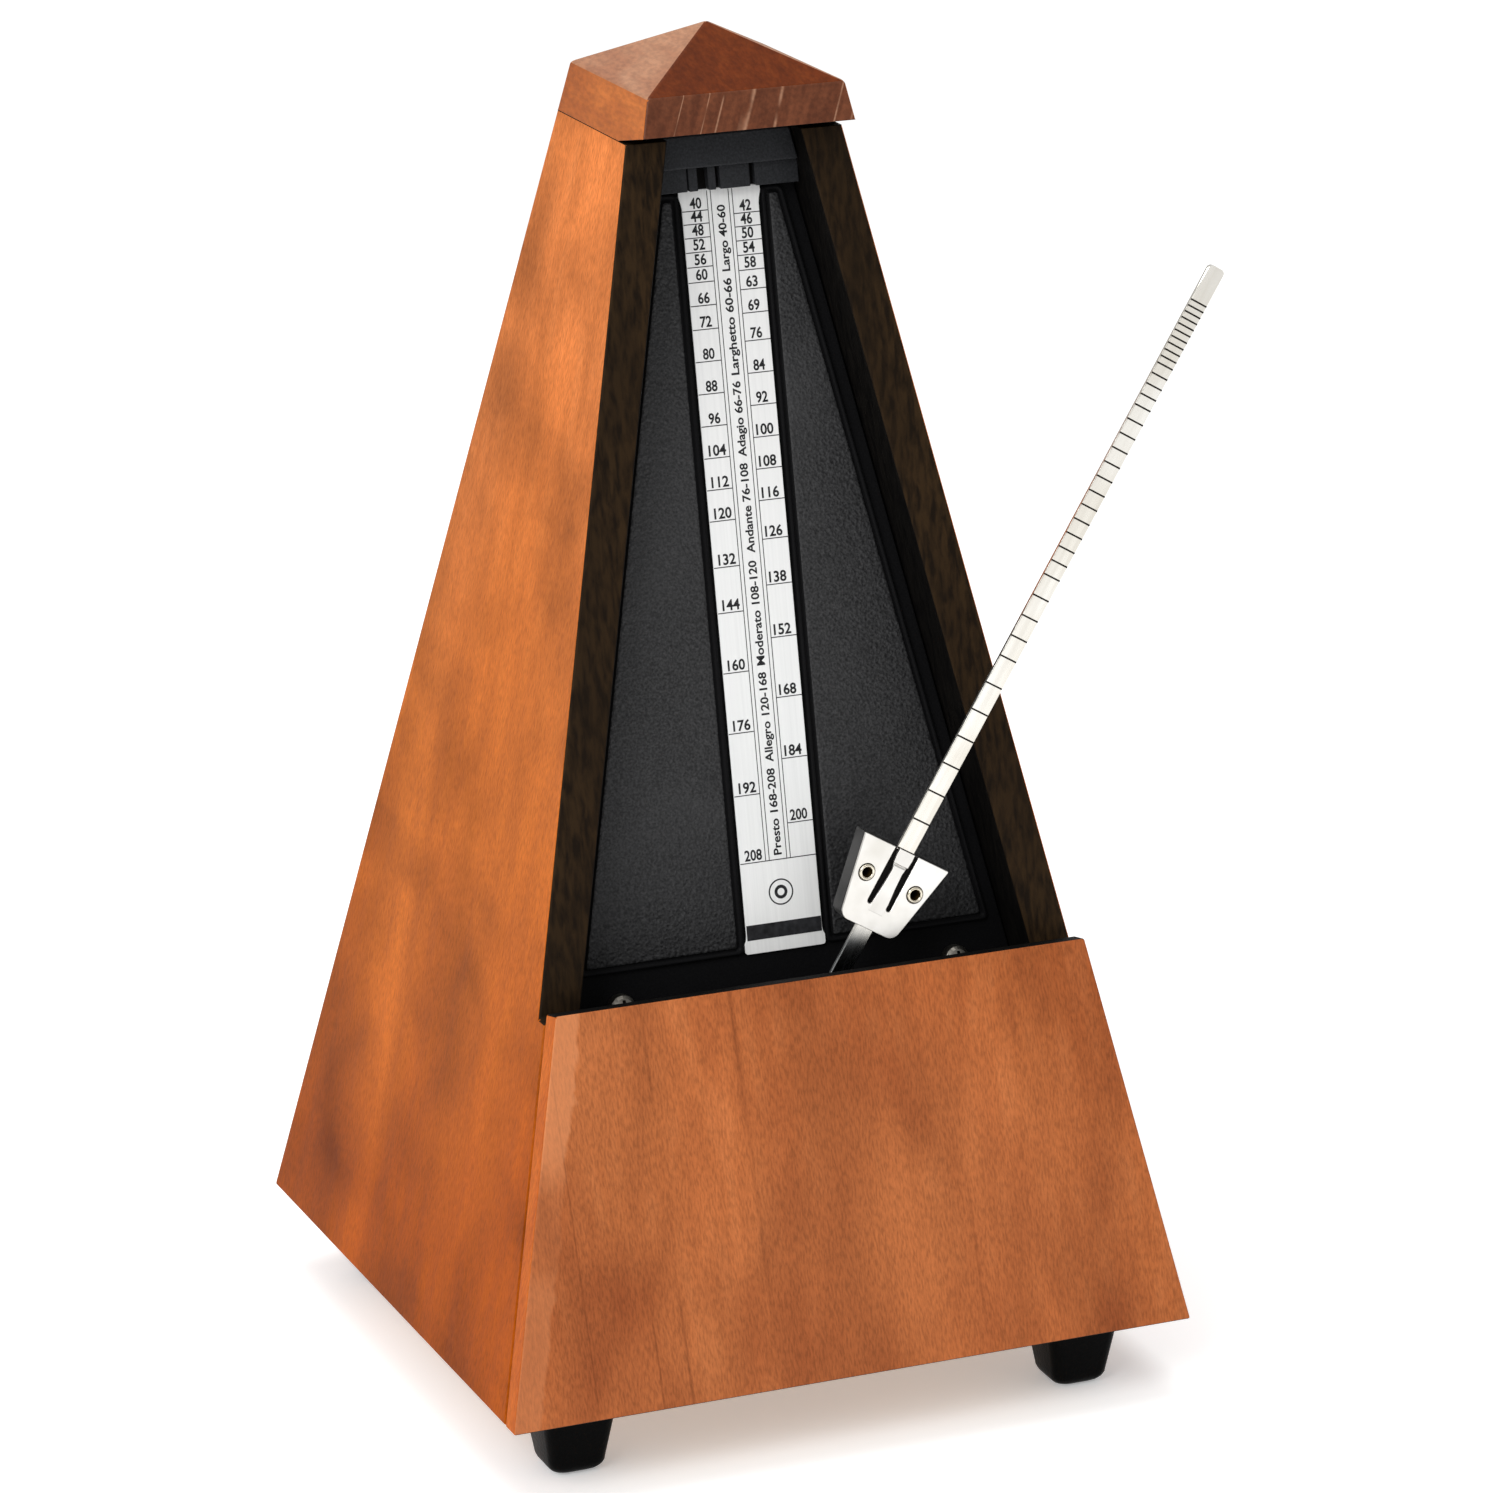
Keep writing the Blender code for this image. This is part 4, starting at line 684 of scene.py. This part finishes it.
def top_cap():
    under = SEAM + 0.06
    front = under + 2.0
    points = []
    for side in (-1, 1):
        points += [back_point(side, 0.0, under), case_point(side, 10.0, under)]
        points += [case_point(side, 0.0, front), case_point(side, 0.0, RIDGE), back_point(side, 0.0, RIDGE)]
    points.append((0.0, 0.0, FOOT_HEIGHT + APEX))
    faces = [
        (0, 1, 2, 3, 4),
        (9, 8, 7, 6, 5),
        (0, 5, 6, 1),
        (1, 6, 7, 2),
        (2, 7, 8, 3),
        (4, 9, 5, 0),
        (3, 8, 10),
        (8, 9, 10),
        (9, 4, 10),
        (4, 3, 10),
    ]
    # The side slopes take the painted sheen, the front and back slopes end grain darkened further with
    # painted shade.
    looks = [CAP_SIDE, CAP_END, CAP_PAINTED_SHEEN_SLOPE, CAP_END_GRAIN_AND_SHADE_SLOPE, BLACK_STAIN_AND_SHADE]
    chosen = (0, 0, 4, 4, 1, 1, 3, 2, 3, 2)
    cap = add_piece("cap_block", points, faces, looks, "case", pick=lambda number: chosen[number])
    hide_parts("top_cap")
    soften(cap, 0.4, crisp=lambda z: z < FOOT_HEIGHT + front + 0.1)


def rounded_square(centre, half, corner, z):
    steps = 6
    loop = []
    for quarter in range(4):
        middle = quarter * math.pi / 2 + math.pi / 4
        reach = (half - corner) * math.sqrt(2)
        for step in range(steps):
            angle = quarter * math.pi / 2 + step * math.pi / 2 / (steps - 1)
            x = centre[0] + reach * math.cos(middle) + corner * math.cos(angle)
            y = centre[1] + reach * math.sin(middle) + corner * math.sin(angle)
            loop.append((x, y, z))
    return loop


def feet():
    top = FOOT_HEIGHT - GAP
    top_half, sole_half, corner, round_off = 6.5, 4.8, 1.9, 2.3
    for back, y in (("front", -FOOT_OFFSET), ("back", FOOT_OFFSET)):
        for side, x in (("left", -FOOT_OFFSET), ("right", FOOT_OFFSET)):
            loops = []
            for step in range(6):
                turn = step * math.pi / 10
                half = sole_half - round_off * (1 - math.sin(turn)) * 0.9
                loops.append(rounded_square((x, y), half, corner, round_off * (1 - math.cos(turn))))
            loops.append(rounded_square((x, y), top_half, corner, top))
            foot = loft(f"{back}_{side}_foot", loops, [FOOT_BLACK], "case", sharp=40)
            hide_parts(f"foot_{back}_{side}")


# ---------------- dial


def dial_outline(inset, side):
    """A grained panel's outline, set in by inset, with rounded corners."""
    inner = DIAL_PANEL_INNER + inset
    margin = DIAL_PANEL_MARGIN + inset
    bottom, top = DIAL_PANEL_LOW + inset, DIAL_HIGH - 0.3 - inset
    corners = [
        (half_width(bottom, margin), bottom),
        (half_width(top, margin), top),
        (inner, top),
        (inner, bottom),
    ]
    rounded = []
    radius = max(1.0 - inset * 0.5, 0.3)
    for number, corner in enumerate(corners):
        before = Vector(corners[number - 1]) - Vector(corner)
        after = Vector(corners[(number + 1) % 4]) - Vector(corner)
        start = Vector(corner) + before.normalized() * radius
        end = Vector(corner) + after.normalized() * radius
        for step in range(4):
            share = step / 3
            bend = start.lerp(Vector(corner), share).lerp(Vector(corner).lerp(end, share), share)
            rounded.append((side * bend.x, bend.y))
    return rounded


def dial():
    """The moulded plate: a smooth ground and two grained panels, each inside a raised bead and a groove."""
    back = DIAL_RECESS + DIAL_THICKNESS
    loops = []
    for recess in (DIAL_RECESS, back):
        loop = []
        for along, side in ((DIAL_LOW, -1), (DIAL_LOW, 1), (DIAL_HIGH, 1), (DIAL_HIGH, -1)):
            loop.append(dial_point(side * half_width(along, DIAL_MARGIN), along, recess))
        loops.append(loop)
    ground = loft("dial_ground", loops, [DIAL_SMOOTH_AND_SHADE], "case")
    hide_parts("dial_plate")
    soften(ground, 0.3)
    rings = (
        (0.0, DIAL_RECESS + 0.1), (0.0, 15.75), (0.15, 15.5), (0.4, 15.4), (0.65, 15.5),
        (0.85, 15.85), (1.05, 15.85), (1.3, 15.45), (1.6, 15.35),
    )
    for side, name in ((-1, "left"), (1, "right")):
        loops = []
        for inset, recess in rings:
            outline = dial_outline(inset, side)
            loops.append([dial_point(x, along, recess) for x, along in outline])
        size = len(loops[0])
        last = size * (len(rings) - 1)
        grained = {*range(last - size, last), last + 1}
        more = {"pick": lambda number, grained=grained: int(number in grained), "sharp": 50}
        loft(f"dial_panel_{name}", loops, [DIAL_SMOOTH_AND_SHADE, DIAL_GRAIN], "case", **more)


def catch():
    """The block that the rod's tip parks in: a smooth lintel over a slotted lip."""
    scale = math.cos(SLOPE)
    inset = WALL + GAP

    def bar(front, back, low, high):
        corners = ((front, low), (front, high), (back, high), (back, low))
        return [[case_point(side, r, along * scale, inset) for r, along in corners] for side in (-1, 1)]

    front, back = CATCH_LIP_RECESS, CATCH_BACK_RECESS
    low, high = CATCH_FOOT, CATCH_LIP - 0.1
    lintel = loft("catch_lintel", bar(CATCH_RECESS, back, CATCH_LIP, CATCH_TOP), [CATCH_BLACK], "case")
    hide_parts("pendulum_catch")
    soften(lintel, 0.35)
    loft("catch_back", bar(front + 1.6, back, low, high), [BLACK_STAIN_AND_SHADE], "case")
    stretches = ((-12.58, -6.17), (-5.93, -4.42), (-2.68, -1.37), (-0.68, 4.38), (5.22, 12.58))
    for number, (left, right) in enumerate(stretches, 1):
        loops = []
        for recess in (front, front + 1.5):
            spots = ((left, low), (right, low), (right, high), (left, high))
            loops.append([dial_point(x, along, recess) for x, along in spots])
        soften(loft(f"catch_lip_{number}", loops, [CATCH_BLACK], "case"), 0.15, 2)


def strip():
    """The scale strip, a little wider in an ear at each end."""
    wide = STRIP_HALF + 0.4
    corner = 0.5
    right = []
    for step in range(5):
        turn = step * math.pi / 8
        right.append((wide - corner + corner * math.sin(turn), STRIP_LOW + corner - corner * math.cos(turn)))
    right += [(wide, STRIP_LOW + 1.6), (STRIP_HALF + 0.1, STRIP_LOW + 2.2), (STRIP_HALF, STRIP_LOW + 3.0)]
    right += [(STRIP_HALF, DIAL_HIGH - 3.0), (STRIP_HALF + 0.1, DIAL_HIGH - 2.2), (wide, DIAL_HIGH - 1.0)]
    right += [(wide, DIAL_HIGH - 0.3), (wide - 0.3, DIAL_HIGH)]
    outline = right + [(-x, along) for x, along in reversed(right)]
    recesses = (STRIP_RECESS, STRIP_RECESS + STRIP_THICKNESS)
    loops = [[dial_point(x, along, recess) for x, along in outline] for recess in recesses]
    plate = loft("tempo_strip", loops, [STRIP], "case")
    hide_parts("scale_strip")
    soften(plate, 0.08, 2)


def printed_bar(left, right, low, high):
    """One printed bar on the strip as (points, faces)."""
    points = []
    for recess in (PRINT_FRONT, PRINT_BACK):
        for x, along in ((left, low), (right, low), (right, high), (left, high)):
            points.append(dial_point(x, along, recess))
    return points, loft_faces(2, 4, False)


def weight_centre(tempo):
    """How far the sliding weight's centre of mass is above the pivot at a tempo."""
    stiffness = GRAVITY_MM * math.cos(SLOPE) * (60.0 / (math.pi * tempo)) ** 2
    root = math.sqrt(stiffness**2 + 4 * (stiffness * BALANCE_TERM - INERTIA_TERM))
    return (root - stiffness) / 2


def graduations():
    """The printed lines, the dark band and a plain double ring."""
    parts = []
    for tempi, side in ((LEFT_TEMPI, -1), (RIGHT_TEMPI, 1)):
        for tempo in tempi:
            along = SCALE_AT_PIVOT + weight_centre(tempo)
            outer, inner = side * (STRIP_HALF - PRINT_MARGIN), side * COLUMN_INNER
            left, right = min(outer, inner), max(outer, inner)
            parts.append(printed_bar(left, right, along - LINE_HALF, along + LINE_HALF))
    low = SCALE_AT_PIVOT + weight_centre(FASTEST_TEMPO)
    parts.append(printed_bar(-COLUMN_INNER, STRIP_HALF - PRINT_MARGIN, low - LINE_HALF, low + LINE_HALF))
    for x in (-COLUMN_INNER, -WORDS_COLUMN, WORDS_COLUMN, COLUMN_INNER):
        parts.append(printed_bar(x - COLUMN_LINE_HALF, x + COLUMN_LINE_HALF, low, DIAL_HIGH - 0.3))
    joined("scale_lines", parts, [INK], "case")
    band_half = STRIP_HALF - 0.1
    joined("scale_band", [printed_bar(-band_half, band_half, BAND_LOW, BAND_HIGH)], [INK], "case")
    rings = [printed_ring(radius, width) for radius, width in ((2.1, 0.22), (1.1, 0.5))]
    joined("scale_ornament", rings, [INK], "case")


def printed_ring(radius, width):
    points = []
    steps = 40
    inner = radius - width
    section = ((inner, PRINT_BACK), (radius, PRINT_BACK), (radius, PRINT_FRONT), (inner, PRINT_FRONT))
    for angle in full_turn(steps):
        for reach, recess in section:
            across, up = reach * math.cos(angle), reach * math.sin(angle)
            points.append(dial_point(across, ORNAMENT_ALONG + up, recess))
    return points, loft_faces(steps, 4, True)


def letters(words):
    """Points (x, y, z) and faces of some words, stretched to one unit wide and one unit tall."""
    curve = bpy.data.curves.new(words, "FONT")
    curve.body = words
    curve.resolution_u = 3
    curve.offset = 0.022
    curve.extrude = 0.01
    helper = new_object(words, curve)
    bpy.context.view_layer.update()
    graph = bpy.context.evaluated_depsgraph_get()
    mesh = bpy.data.meshes.new_from_object(helper.evaluated_get(graph))
    points = [vertex.co.copy() for vertex in mesh.vertices]
    faces = [tuple(polygon.vertices) for polygon in mesh.polygons]
    bpy.data.objects.remove(helper)
    bpy.data.curves.remove(curve)
    bpy.data.meshes.remove(mesh)
    left, right = min(p.x for p in points), max(p.x for p in points)
    tall = max(p.y for p in points)
    spread = [((p.x - left) / (right - left), p.y / tall, p.z) for p in points]
    return spread, faces


def lettering():
    """Generic tempo numbers and the common tempo words."""
    parts = []
    for tempi, side in ((LEFT_TEMPI, -1), (RIGHT_TEMPI, 1)):
        for tempo in tempi:
            spread, faces = letters(str(tempo))
            width = DIGIT_WIDTH * len(str(tempo))
            low = SCALE_AT_PIVOT + weight_centre(tempo) + DIGIT_ABOVE_LINE
            left = side * DIGIT_COLUMN - width / 2
            points = []
            for x, y, z in spread:
                points.append(dial_point(left + x * width, low + y * DIGIT_HEIGHT, PRINT_RECESS - z))
            parts.append((points, faces))
    joined("scale_numbers", parts, [INK], "case")
    parts = []
    for words, low, high in TEMPO_WORDS:
        spread, faces = letters(words)
        length = high - low
        points = []
        for x, y, z in spread:
            points.append(dial_point(WORD_HEIGHT / 2 - y * WORD_HEIGHT, low + x * length, PRINT_RECESS - z))
        parts.append((points, faces))
    joined("scale_words", parts, [INK], "case")


# ---------------- pendulum


def pendulum_frame(up=0.0):
    """The tilted rod's frame, from the pivot or from that far up the rod."""
    turn = Matrix.Rotation(REST_TILT, 4, "Y")
    return CASE @ Matrix.Translation(PIVOT) @ turn @ Matrix.Translation((0, 0, up))


def weight_top(tempo):
    return weight_centre(tempo) + WEIGHT_TOP_ABOVE_CENTRE


def rod():
    """The rod, cut at each tempo mark. Its tip and its long edges are rounded."""
    marks = sorted(weight_top(tempo) for tempo in LEFT_TEMPI + RIGHT_TEMPI)
    rights = []
    for step in range(7):
        turn = math.asin(1 - ROD_EDGE / ROD_CORNER) * step / 6
        rights.append((ROD_HALF - ROD_CORNER + ROD_CORNER * math.sin(turn), ROD_CORNER * math.cos(turn), 0.0))
    rights.append((ROD_HALF, 0.0, ROD_EDGE))
    stations = [(-x, rise, thin) for x, rise, thin in reversed(rights)] + rights
    loops = []
    for x, rise, thin in stations:
        front, back = thin - ROD_HALF_THICKNESS, ROD_HALF_THICKNESS - thin
        top = ROD_TOP - ROD_CORNER + rise
        loop = [(x, back, ROD_BOTTOM), (x, front, ROD_BOTTOM)]
        for mark in marks:
            loop.append((x, front, mark - NOTCH_HALF))
            loop.append((x, -ROD_HALF_THICKNESS + NOTCH_DEPTH, mark))
            loop.append((x, front, mark + NOTCH_HALF))
        loop += [(x, front, top), (x, back, top)]
        loops.append(loop)
    size = len(loops[0])
    last = size * (len(loops) - 1)

    # pick gives the notch faces the dark metal, which is painted shade.
    def pick(number):
        place = number % size - 2
        return int(number < last and 0 <= place < 3 * len(marks) and place % 3 != 2)

    more = {"frame_matrix": pendulum_frame(), "pick": pick}
    piece = loft("tempo_rod", loops, [NICKEL, NOTCH_PAINTED_SHADE], "pendulum", **more)
    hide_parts("pendulum_rod")


def weight_half(down):
    return WEIGHT_TOP_HALF + (WEIGHT_BOTTOM_HALF - WEIGHT_TOP_HALF) * down / WEIGHT_LENGTH


def weight_corner():
    """(down, half width) points from the straight side round to the lower edge."""
    points = []
    for step in range(7):
        turn = step * math.pi / 2 / 6
        down = WEIGHT_LENGTH - WEIGHT_CORNER * (1 - math.sin(turn))
        points.append((down, weight_half(down) - WEIGHT_CORNER * (1 - math.cos(turn))))
    return points


def weight():
    place = pendulum_frame(weight_top(REST_TEMPO))
    weight_face(place)
    weight_tongue(place)
    weight_lining(place)
    weight_body(place)
    eyelets(place, PLATE_FRONT)


def weight_face(place):
    """The front plate, open at the top for the tongue and a slot each side of it."""
    middle, round_end = (SLOT_IN + SLOT_OUT) / 2, (SLOT_OUT - SLOT_IN) / 2
    half = []
    for step in range(7):
        turn = math.pi + step * math.pi / 6
        x = middle + round_end * math.cos(turn)
        half.append((x, -SLOT_LENGTH + round_end + round_end * math.sin(turn)))
    half += [(SLOT_OUT, 0.0), (weight_half(0.0) - 0.15, 0.0), (weight_half(0.0), -0.15)]
    half += [(reach, -down) for down, reach in weight_corner()]
    outline = half + [(-x, z) for x, z in reversed(half)]
    loops = [[(x, y, z) for x, z in outline] for y in (PLATE_FRONT, PLATE_BACK)]
    face = loft("weight_face", loops, [WEIGHT_NICKEL], "weight", frame_matrix=place)
    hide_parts("weight_plate")
    rivet_holes(face, 1.43)
    soften(face, 0.12)


def weight_tongue(place):
    """The sprung tongue, from its root up to its lip, as (down, half width, front, back) stations."""
    front, back = PLATE_FRONT, PLATE_BACK
    stations = (
        (SLOT_LENGTH + 1.0, 1.4, front - 0.02, front + 0.1),
        (SLOT_LENGTH - 0.3, 1.4, front - 0.03, back),
        (SLOT_LENGTH - 1.4, 1.36, front - 0.07, back - 0.1),
        (6.2, 1.12, front - 0.1, back - 0.12),
        (3.6, 1.0, front - 0.1, back - 0.06),
        (2.8, 1.14, front - 0.08, back - 0.05),
        (2.55, 1.26, front + 0.08, back),
        (2.3, 1.38, front - 0.1, back - 0.05),
        (1.1, 1.5, front - 0.08, back),
        (0.0, 1.46, front - 0.05, back + 0.06),
    )
    loops = []
    for down, reach, near, far in stations:
        loops.append([(-reach, near, -down), (reach, near, -down), (reach, far, -down), (-reach, far, -down)])
    tongue = loft("weight_tongue", loops, [TONGUE_NICKEL], "weight", frame_matrix=place, sharp=12)
    soften(tongue, 0.06, 2)


def weight_lining(place):
    """A dark sheet behind the slots: painted shade that hides the rod there."""
    reach, top, foot = 2.25, -0.25, 0.1 - SLOT_LENGTH
    loops = [[(-reach, y, top), (reach, y, top), (reach, y, foot), (-reach, y, foot)] for y in (-0.5, -0.42)]
    loft("weight_slot_painted_shade", loops, [BLACK_STAIN_AND_SHADE], "weight", frame_matrix=place)


def weight_body(place):
    """The block behind the plate, with a channel for the rod."""
    channel, floor, front = 1.9, 0.55, -ROD_HALF_THICKNESS
    loops = []
    for down, reach in [(0.0, weight_half(0.0))] + weight_corner():
        section = (
            (-reach, front), (-channel, front), (-channel, floor), (channel, floor),
            (channel, front), (reach, front), (reach, BLOCK_BACK), (-reach, BLOCK_BACK),
        )
        loops.append([(x, y, -down) for x, y in section])
    block = loft("weight_body", loops, [DARK_NICKEL], "weight", frame_matrix=place, sharp=40)
    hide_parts("weight_block")
    rivet_holes(block, EYELET_R)
    soften(block, 0.12, 2)


def rivet_holes(piece, radius):
    for side in (-1, 1):
        bore(piece, Vector((side * EYELET_X, 0, -EYELET_DOWN)) * MM, radius * MM, (0, 1, 0), 6 * MM)


def eyelet_loops(side, section, steps):
    """A (radius, depth) section turned round one eyelet's axis."""
    loops = []
    for angle in full_turn(steps):
        loop = []
        for radius, y in section:
            x = side * EYELET_X + radius * math.cos(angle)
            loop.append((x, y, -EYELET_DOWN + radius * math.sin(angle)))
        loops.append(loop)
    return loops


def eyelets(place, face):
    """Hollow rivets: a rolled bright rim in a dark ring of painted shadow, round a funnel and a dark bore
    closed by a black plug of painted shade.
    """
    roll = 0.24
    rim = []
    for step in range(9):
        turn = step * math.pi / 8
        rim.append((EYELET_R + roll * math.cos(turn), face - 0.06 - roll * math.sin(turn)))
    profile = rim + [(0.74, face + 0.2), (0.6, face + 0.45), (0.6, 2.4), (1.0, 2.4), (1.0, face + 0.1)]
    # The dark ring sits in the gap between the rim and the plate: a painted shadow.
    ring = [(1.02, face + 0.1), (1.02, face + 0.3), (1.42, face + 0.3), (1.42, face + 0.1)]
    size = len(profile)
    dark = {len(rim) - 1, len(rim), len(rim) + 1}

    def inside(number):
        return int(number % size in dark)

    for name, side in (("left", -1), ("right", 1)):
        more = {"closed": True, "frame_matrix": place, "sharp": 40}
        around = eyelet_loops(side, profile, 44)
        piece = loft(f"weight_rivet_{name}", around, [EYELET, EYELET_IN], "weight", pick=inside, **more)
        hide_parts(f"weight_eyelet_{name}")
        loft(f"weight_rivet_shadow_ring_{name}", eyelet_loops(side, ring, 44), [EYELET_SHADOW_RING], "weight", **more)
        # A black plug deep in each rivet's bore: painted shade, so that the hole reads dark.
        shade_plug = []
        for y in (0.9, 1.2):
            shade_plug.append([loop[0] for loop in eyelet_loops(side, [(0.59, y)], 24)])
        loft(f"weight_rivet_painted_shade_{name}", shade_plug, [BLACK_STAIN_AND_SHADE], "weight", frame_matrix=place)


# ---------------- key, and carried-over CAD nodes


def winding_key():
    """A butterfly key: a turned hub with two rounded, pierced wings."""
    low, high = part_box("winding_key")
    middle = (low + high) / 2
    seat = Matrix.LocRotScale(Vector((low.x, middle.y, middle.z)), None, (MM, MM, MM))
    reach = (high.y - low.y) / 2 / MM
    depth = (high.x - low.x) / MM
    hub = KEY_HUB_R
    profile = [
        (KEY_BORE, 0.0), (3.0, 0.0), (hub, 0.4), (hub, 1.4), (hub - 0.35, 1.8),
        (hub - 0.35, 5.0), (hub, 5.4), (hub, 6.2), (hub - 0.5, 6.7), (KEY_BORE, 6.7),
    ]
    loops = []
    for angle in full_turn(40):
        loops.append([(along, r * math.cos(angle), r * math.sin(angle)) for r, along in profile])
    turned = loft("key_hub", loops, [BRASS], "winding", closed=True, frame_matrix=seat, sharp=45)
    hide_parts("winding_key")
    wing_along, wing_across = depth - KEY_WING_EDGE, reach - KEY_WING_EDGE
    for name, side in (("front", -1), ("back", 1)):
        outline = [(1.6, hub - 0.5)]
        for step in range(15):
            turn = math.pi * (1.12 - 1.24 * step / 14)
            along = wing_along + KEY_WING_R * math.cos(turn)
            outline.append((along, wing_across + KEY_WING_R * math.sin(turn)))
        outline.append((5.4, hub - 0.5))
        loops = [[(along, side * across, z) for along, across in outline] for z in (-0.78, 0.78)]
        wing = loft(f"key_wing_{name}", loops, [BRASS], "winding", frame_matrix=seat, sharp=40)
        bore(wing, Vector((wing_along, side * wing_across, 0)) * MM, 1.5 * MM, (0, 0, 1), 4 * MM)
        soften(wing, 0.3)


CARRIED = {
    "base_board": RAW_WOOD,
    "dial_rail_left": RAW_WOOD,
    "dial_rail_right": RAW_WOOD,
    "dial_screw_left": SCREW,
    "dial_screw_right": SCREW,
    "mainspring": DARK_STEEL,
    "click_spring": DARK_STEEL,
}
BRASS_NODES = (
    "great_wheel", "barrel_drum", "barrel_cover", "intermediate_wheel", "crown_wheel", "key_bush",
    "arbor_nut", "front_bridge", "back_bridge", "escape_cock", "pillar_1", "pillar_2",
)


def finish_carried_nodes():
    for name, node in NODES.items():
        if node.hide_render:
            continue
        look = CARRIED.get(name) or (BRASS if name in BRASS_NODES else STEEL)
        node.data.materials.clear()
        node.data.materials.append(look)


# ---------------- studio


def aimed(place, target):
    """A matrix at one point of the case's frame that looks along -Z at another."""
    start = CASE @ Vector(place)
    return Matrix.LocRotScale(start, (CASE @ Vector(target) - start).to_track_quat("-Z", "Y"), None)


def camera():
    made = bpy.data.cameras.new("photo_view")
    made.lens = LENS
    made.sensor_width = SENSOR
    made.clip_end = 20.0
    viewer = new_object("photo_view", made)
    roll = Matrix.Rotation(VIEW_ROLL, 4, "Z")
    viewer.matrix_world = aimed(VIEW_FROM, VIEW_TOWARDS) @ roll
    bpy.context.scene.camera = viewer


def area_light(name, place, target, size, power):
    """A soft box, with its size in metres and its power in watts."""
    made = bpy.data.lights.new(name, "AREA")
    made.shape = "RECTANGLE"
    made.size, made.size_y = size
    made.energy = power
    lamp = new_object(name, made)
    lamp.matrix_world = aimed(place, target)


def studio():
    mesh = bpy.data.meshes.new("studio_floor")
    reach = 0.75
    corners = [(-reach, -reach, 0), (reach, -reach, 0), (reach, reach, 0), (-reach, reach, 0)]
    mesh.from_pydata(corners, [], [(0, 1, 2, 3)])
    mesh.materials.append(pale_floor())
    floor = new_object("studio_floor", mesh)
    floor.location.z = -0.2 * MM
    world = bpy.data.worlds.new("studio")
    bpy.context.scene.world = world
    world.use_nodes = True
    tree = world.node_tree
    surround = tree.nodes["Background"]
    backdrop = tree.nodes.new("ShaderNodeBackground")
    for light, strength in ((surround, 0.55), (backdrop, 1.05)):
        light.inputs["Color"].default_value = (1.0, 1.0, 1.0, 1.0)
        light.inputs["Strength"].default_value = strength
    seen = tree.nodes.new("ShaderNodeLightPath")
    choice = tree.nodes.new("ShaderNodeMixShader")
    tree.links.new(seen.outputs["Is Camera Ray"], choice.inputs[0])
    tree.links.new(surround.outputs[0], choice.inputs[1])
    tree.links.new(backdrop.outputs[0], choice.inputs[2])
    tree.links.new(choice.outputs[0], tree.nodes["World Output"].inputs["Surface"])
    area_light("key", (-900, -700, 900), (0, 0, 100), (0.7, 0.7), 11.0)
    area_light("top", (-100, 200, 1300), (0, 0, 100), (0.9, 0.9), 7.5)
    bpy.context.scene.view_settings.view_transform = "Standard"


side_wall("left_wall", -1)
key_hole(side_wall("right_wall", 1))
back_wall()
front_panel()
top_cap()
feet()
dial()
catch()
strip()
graduations()
lettering()
rod()
weight()
winding_key()
finish_carried_nodes()
studio()
camera()
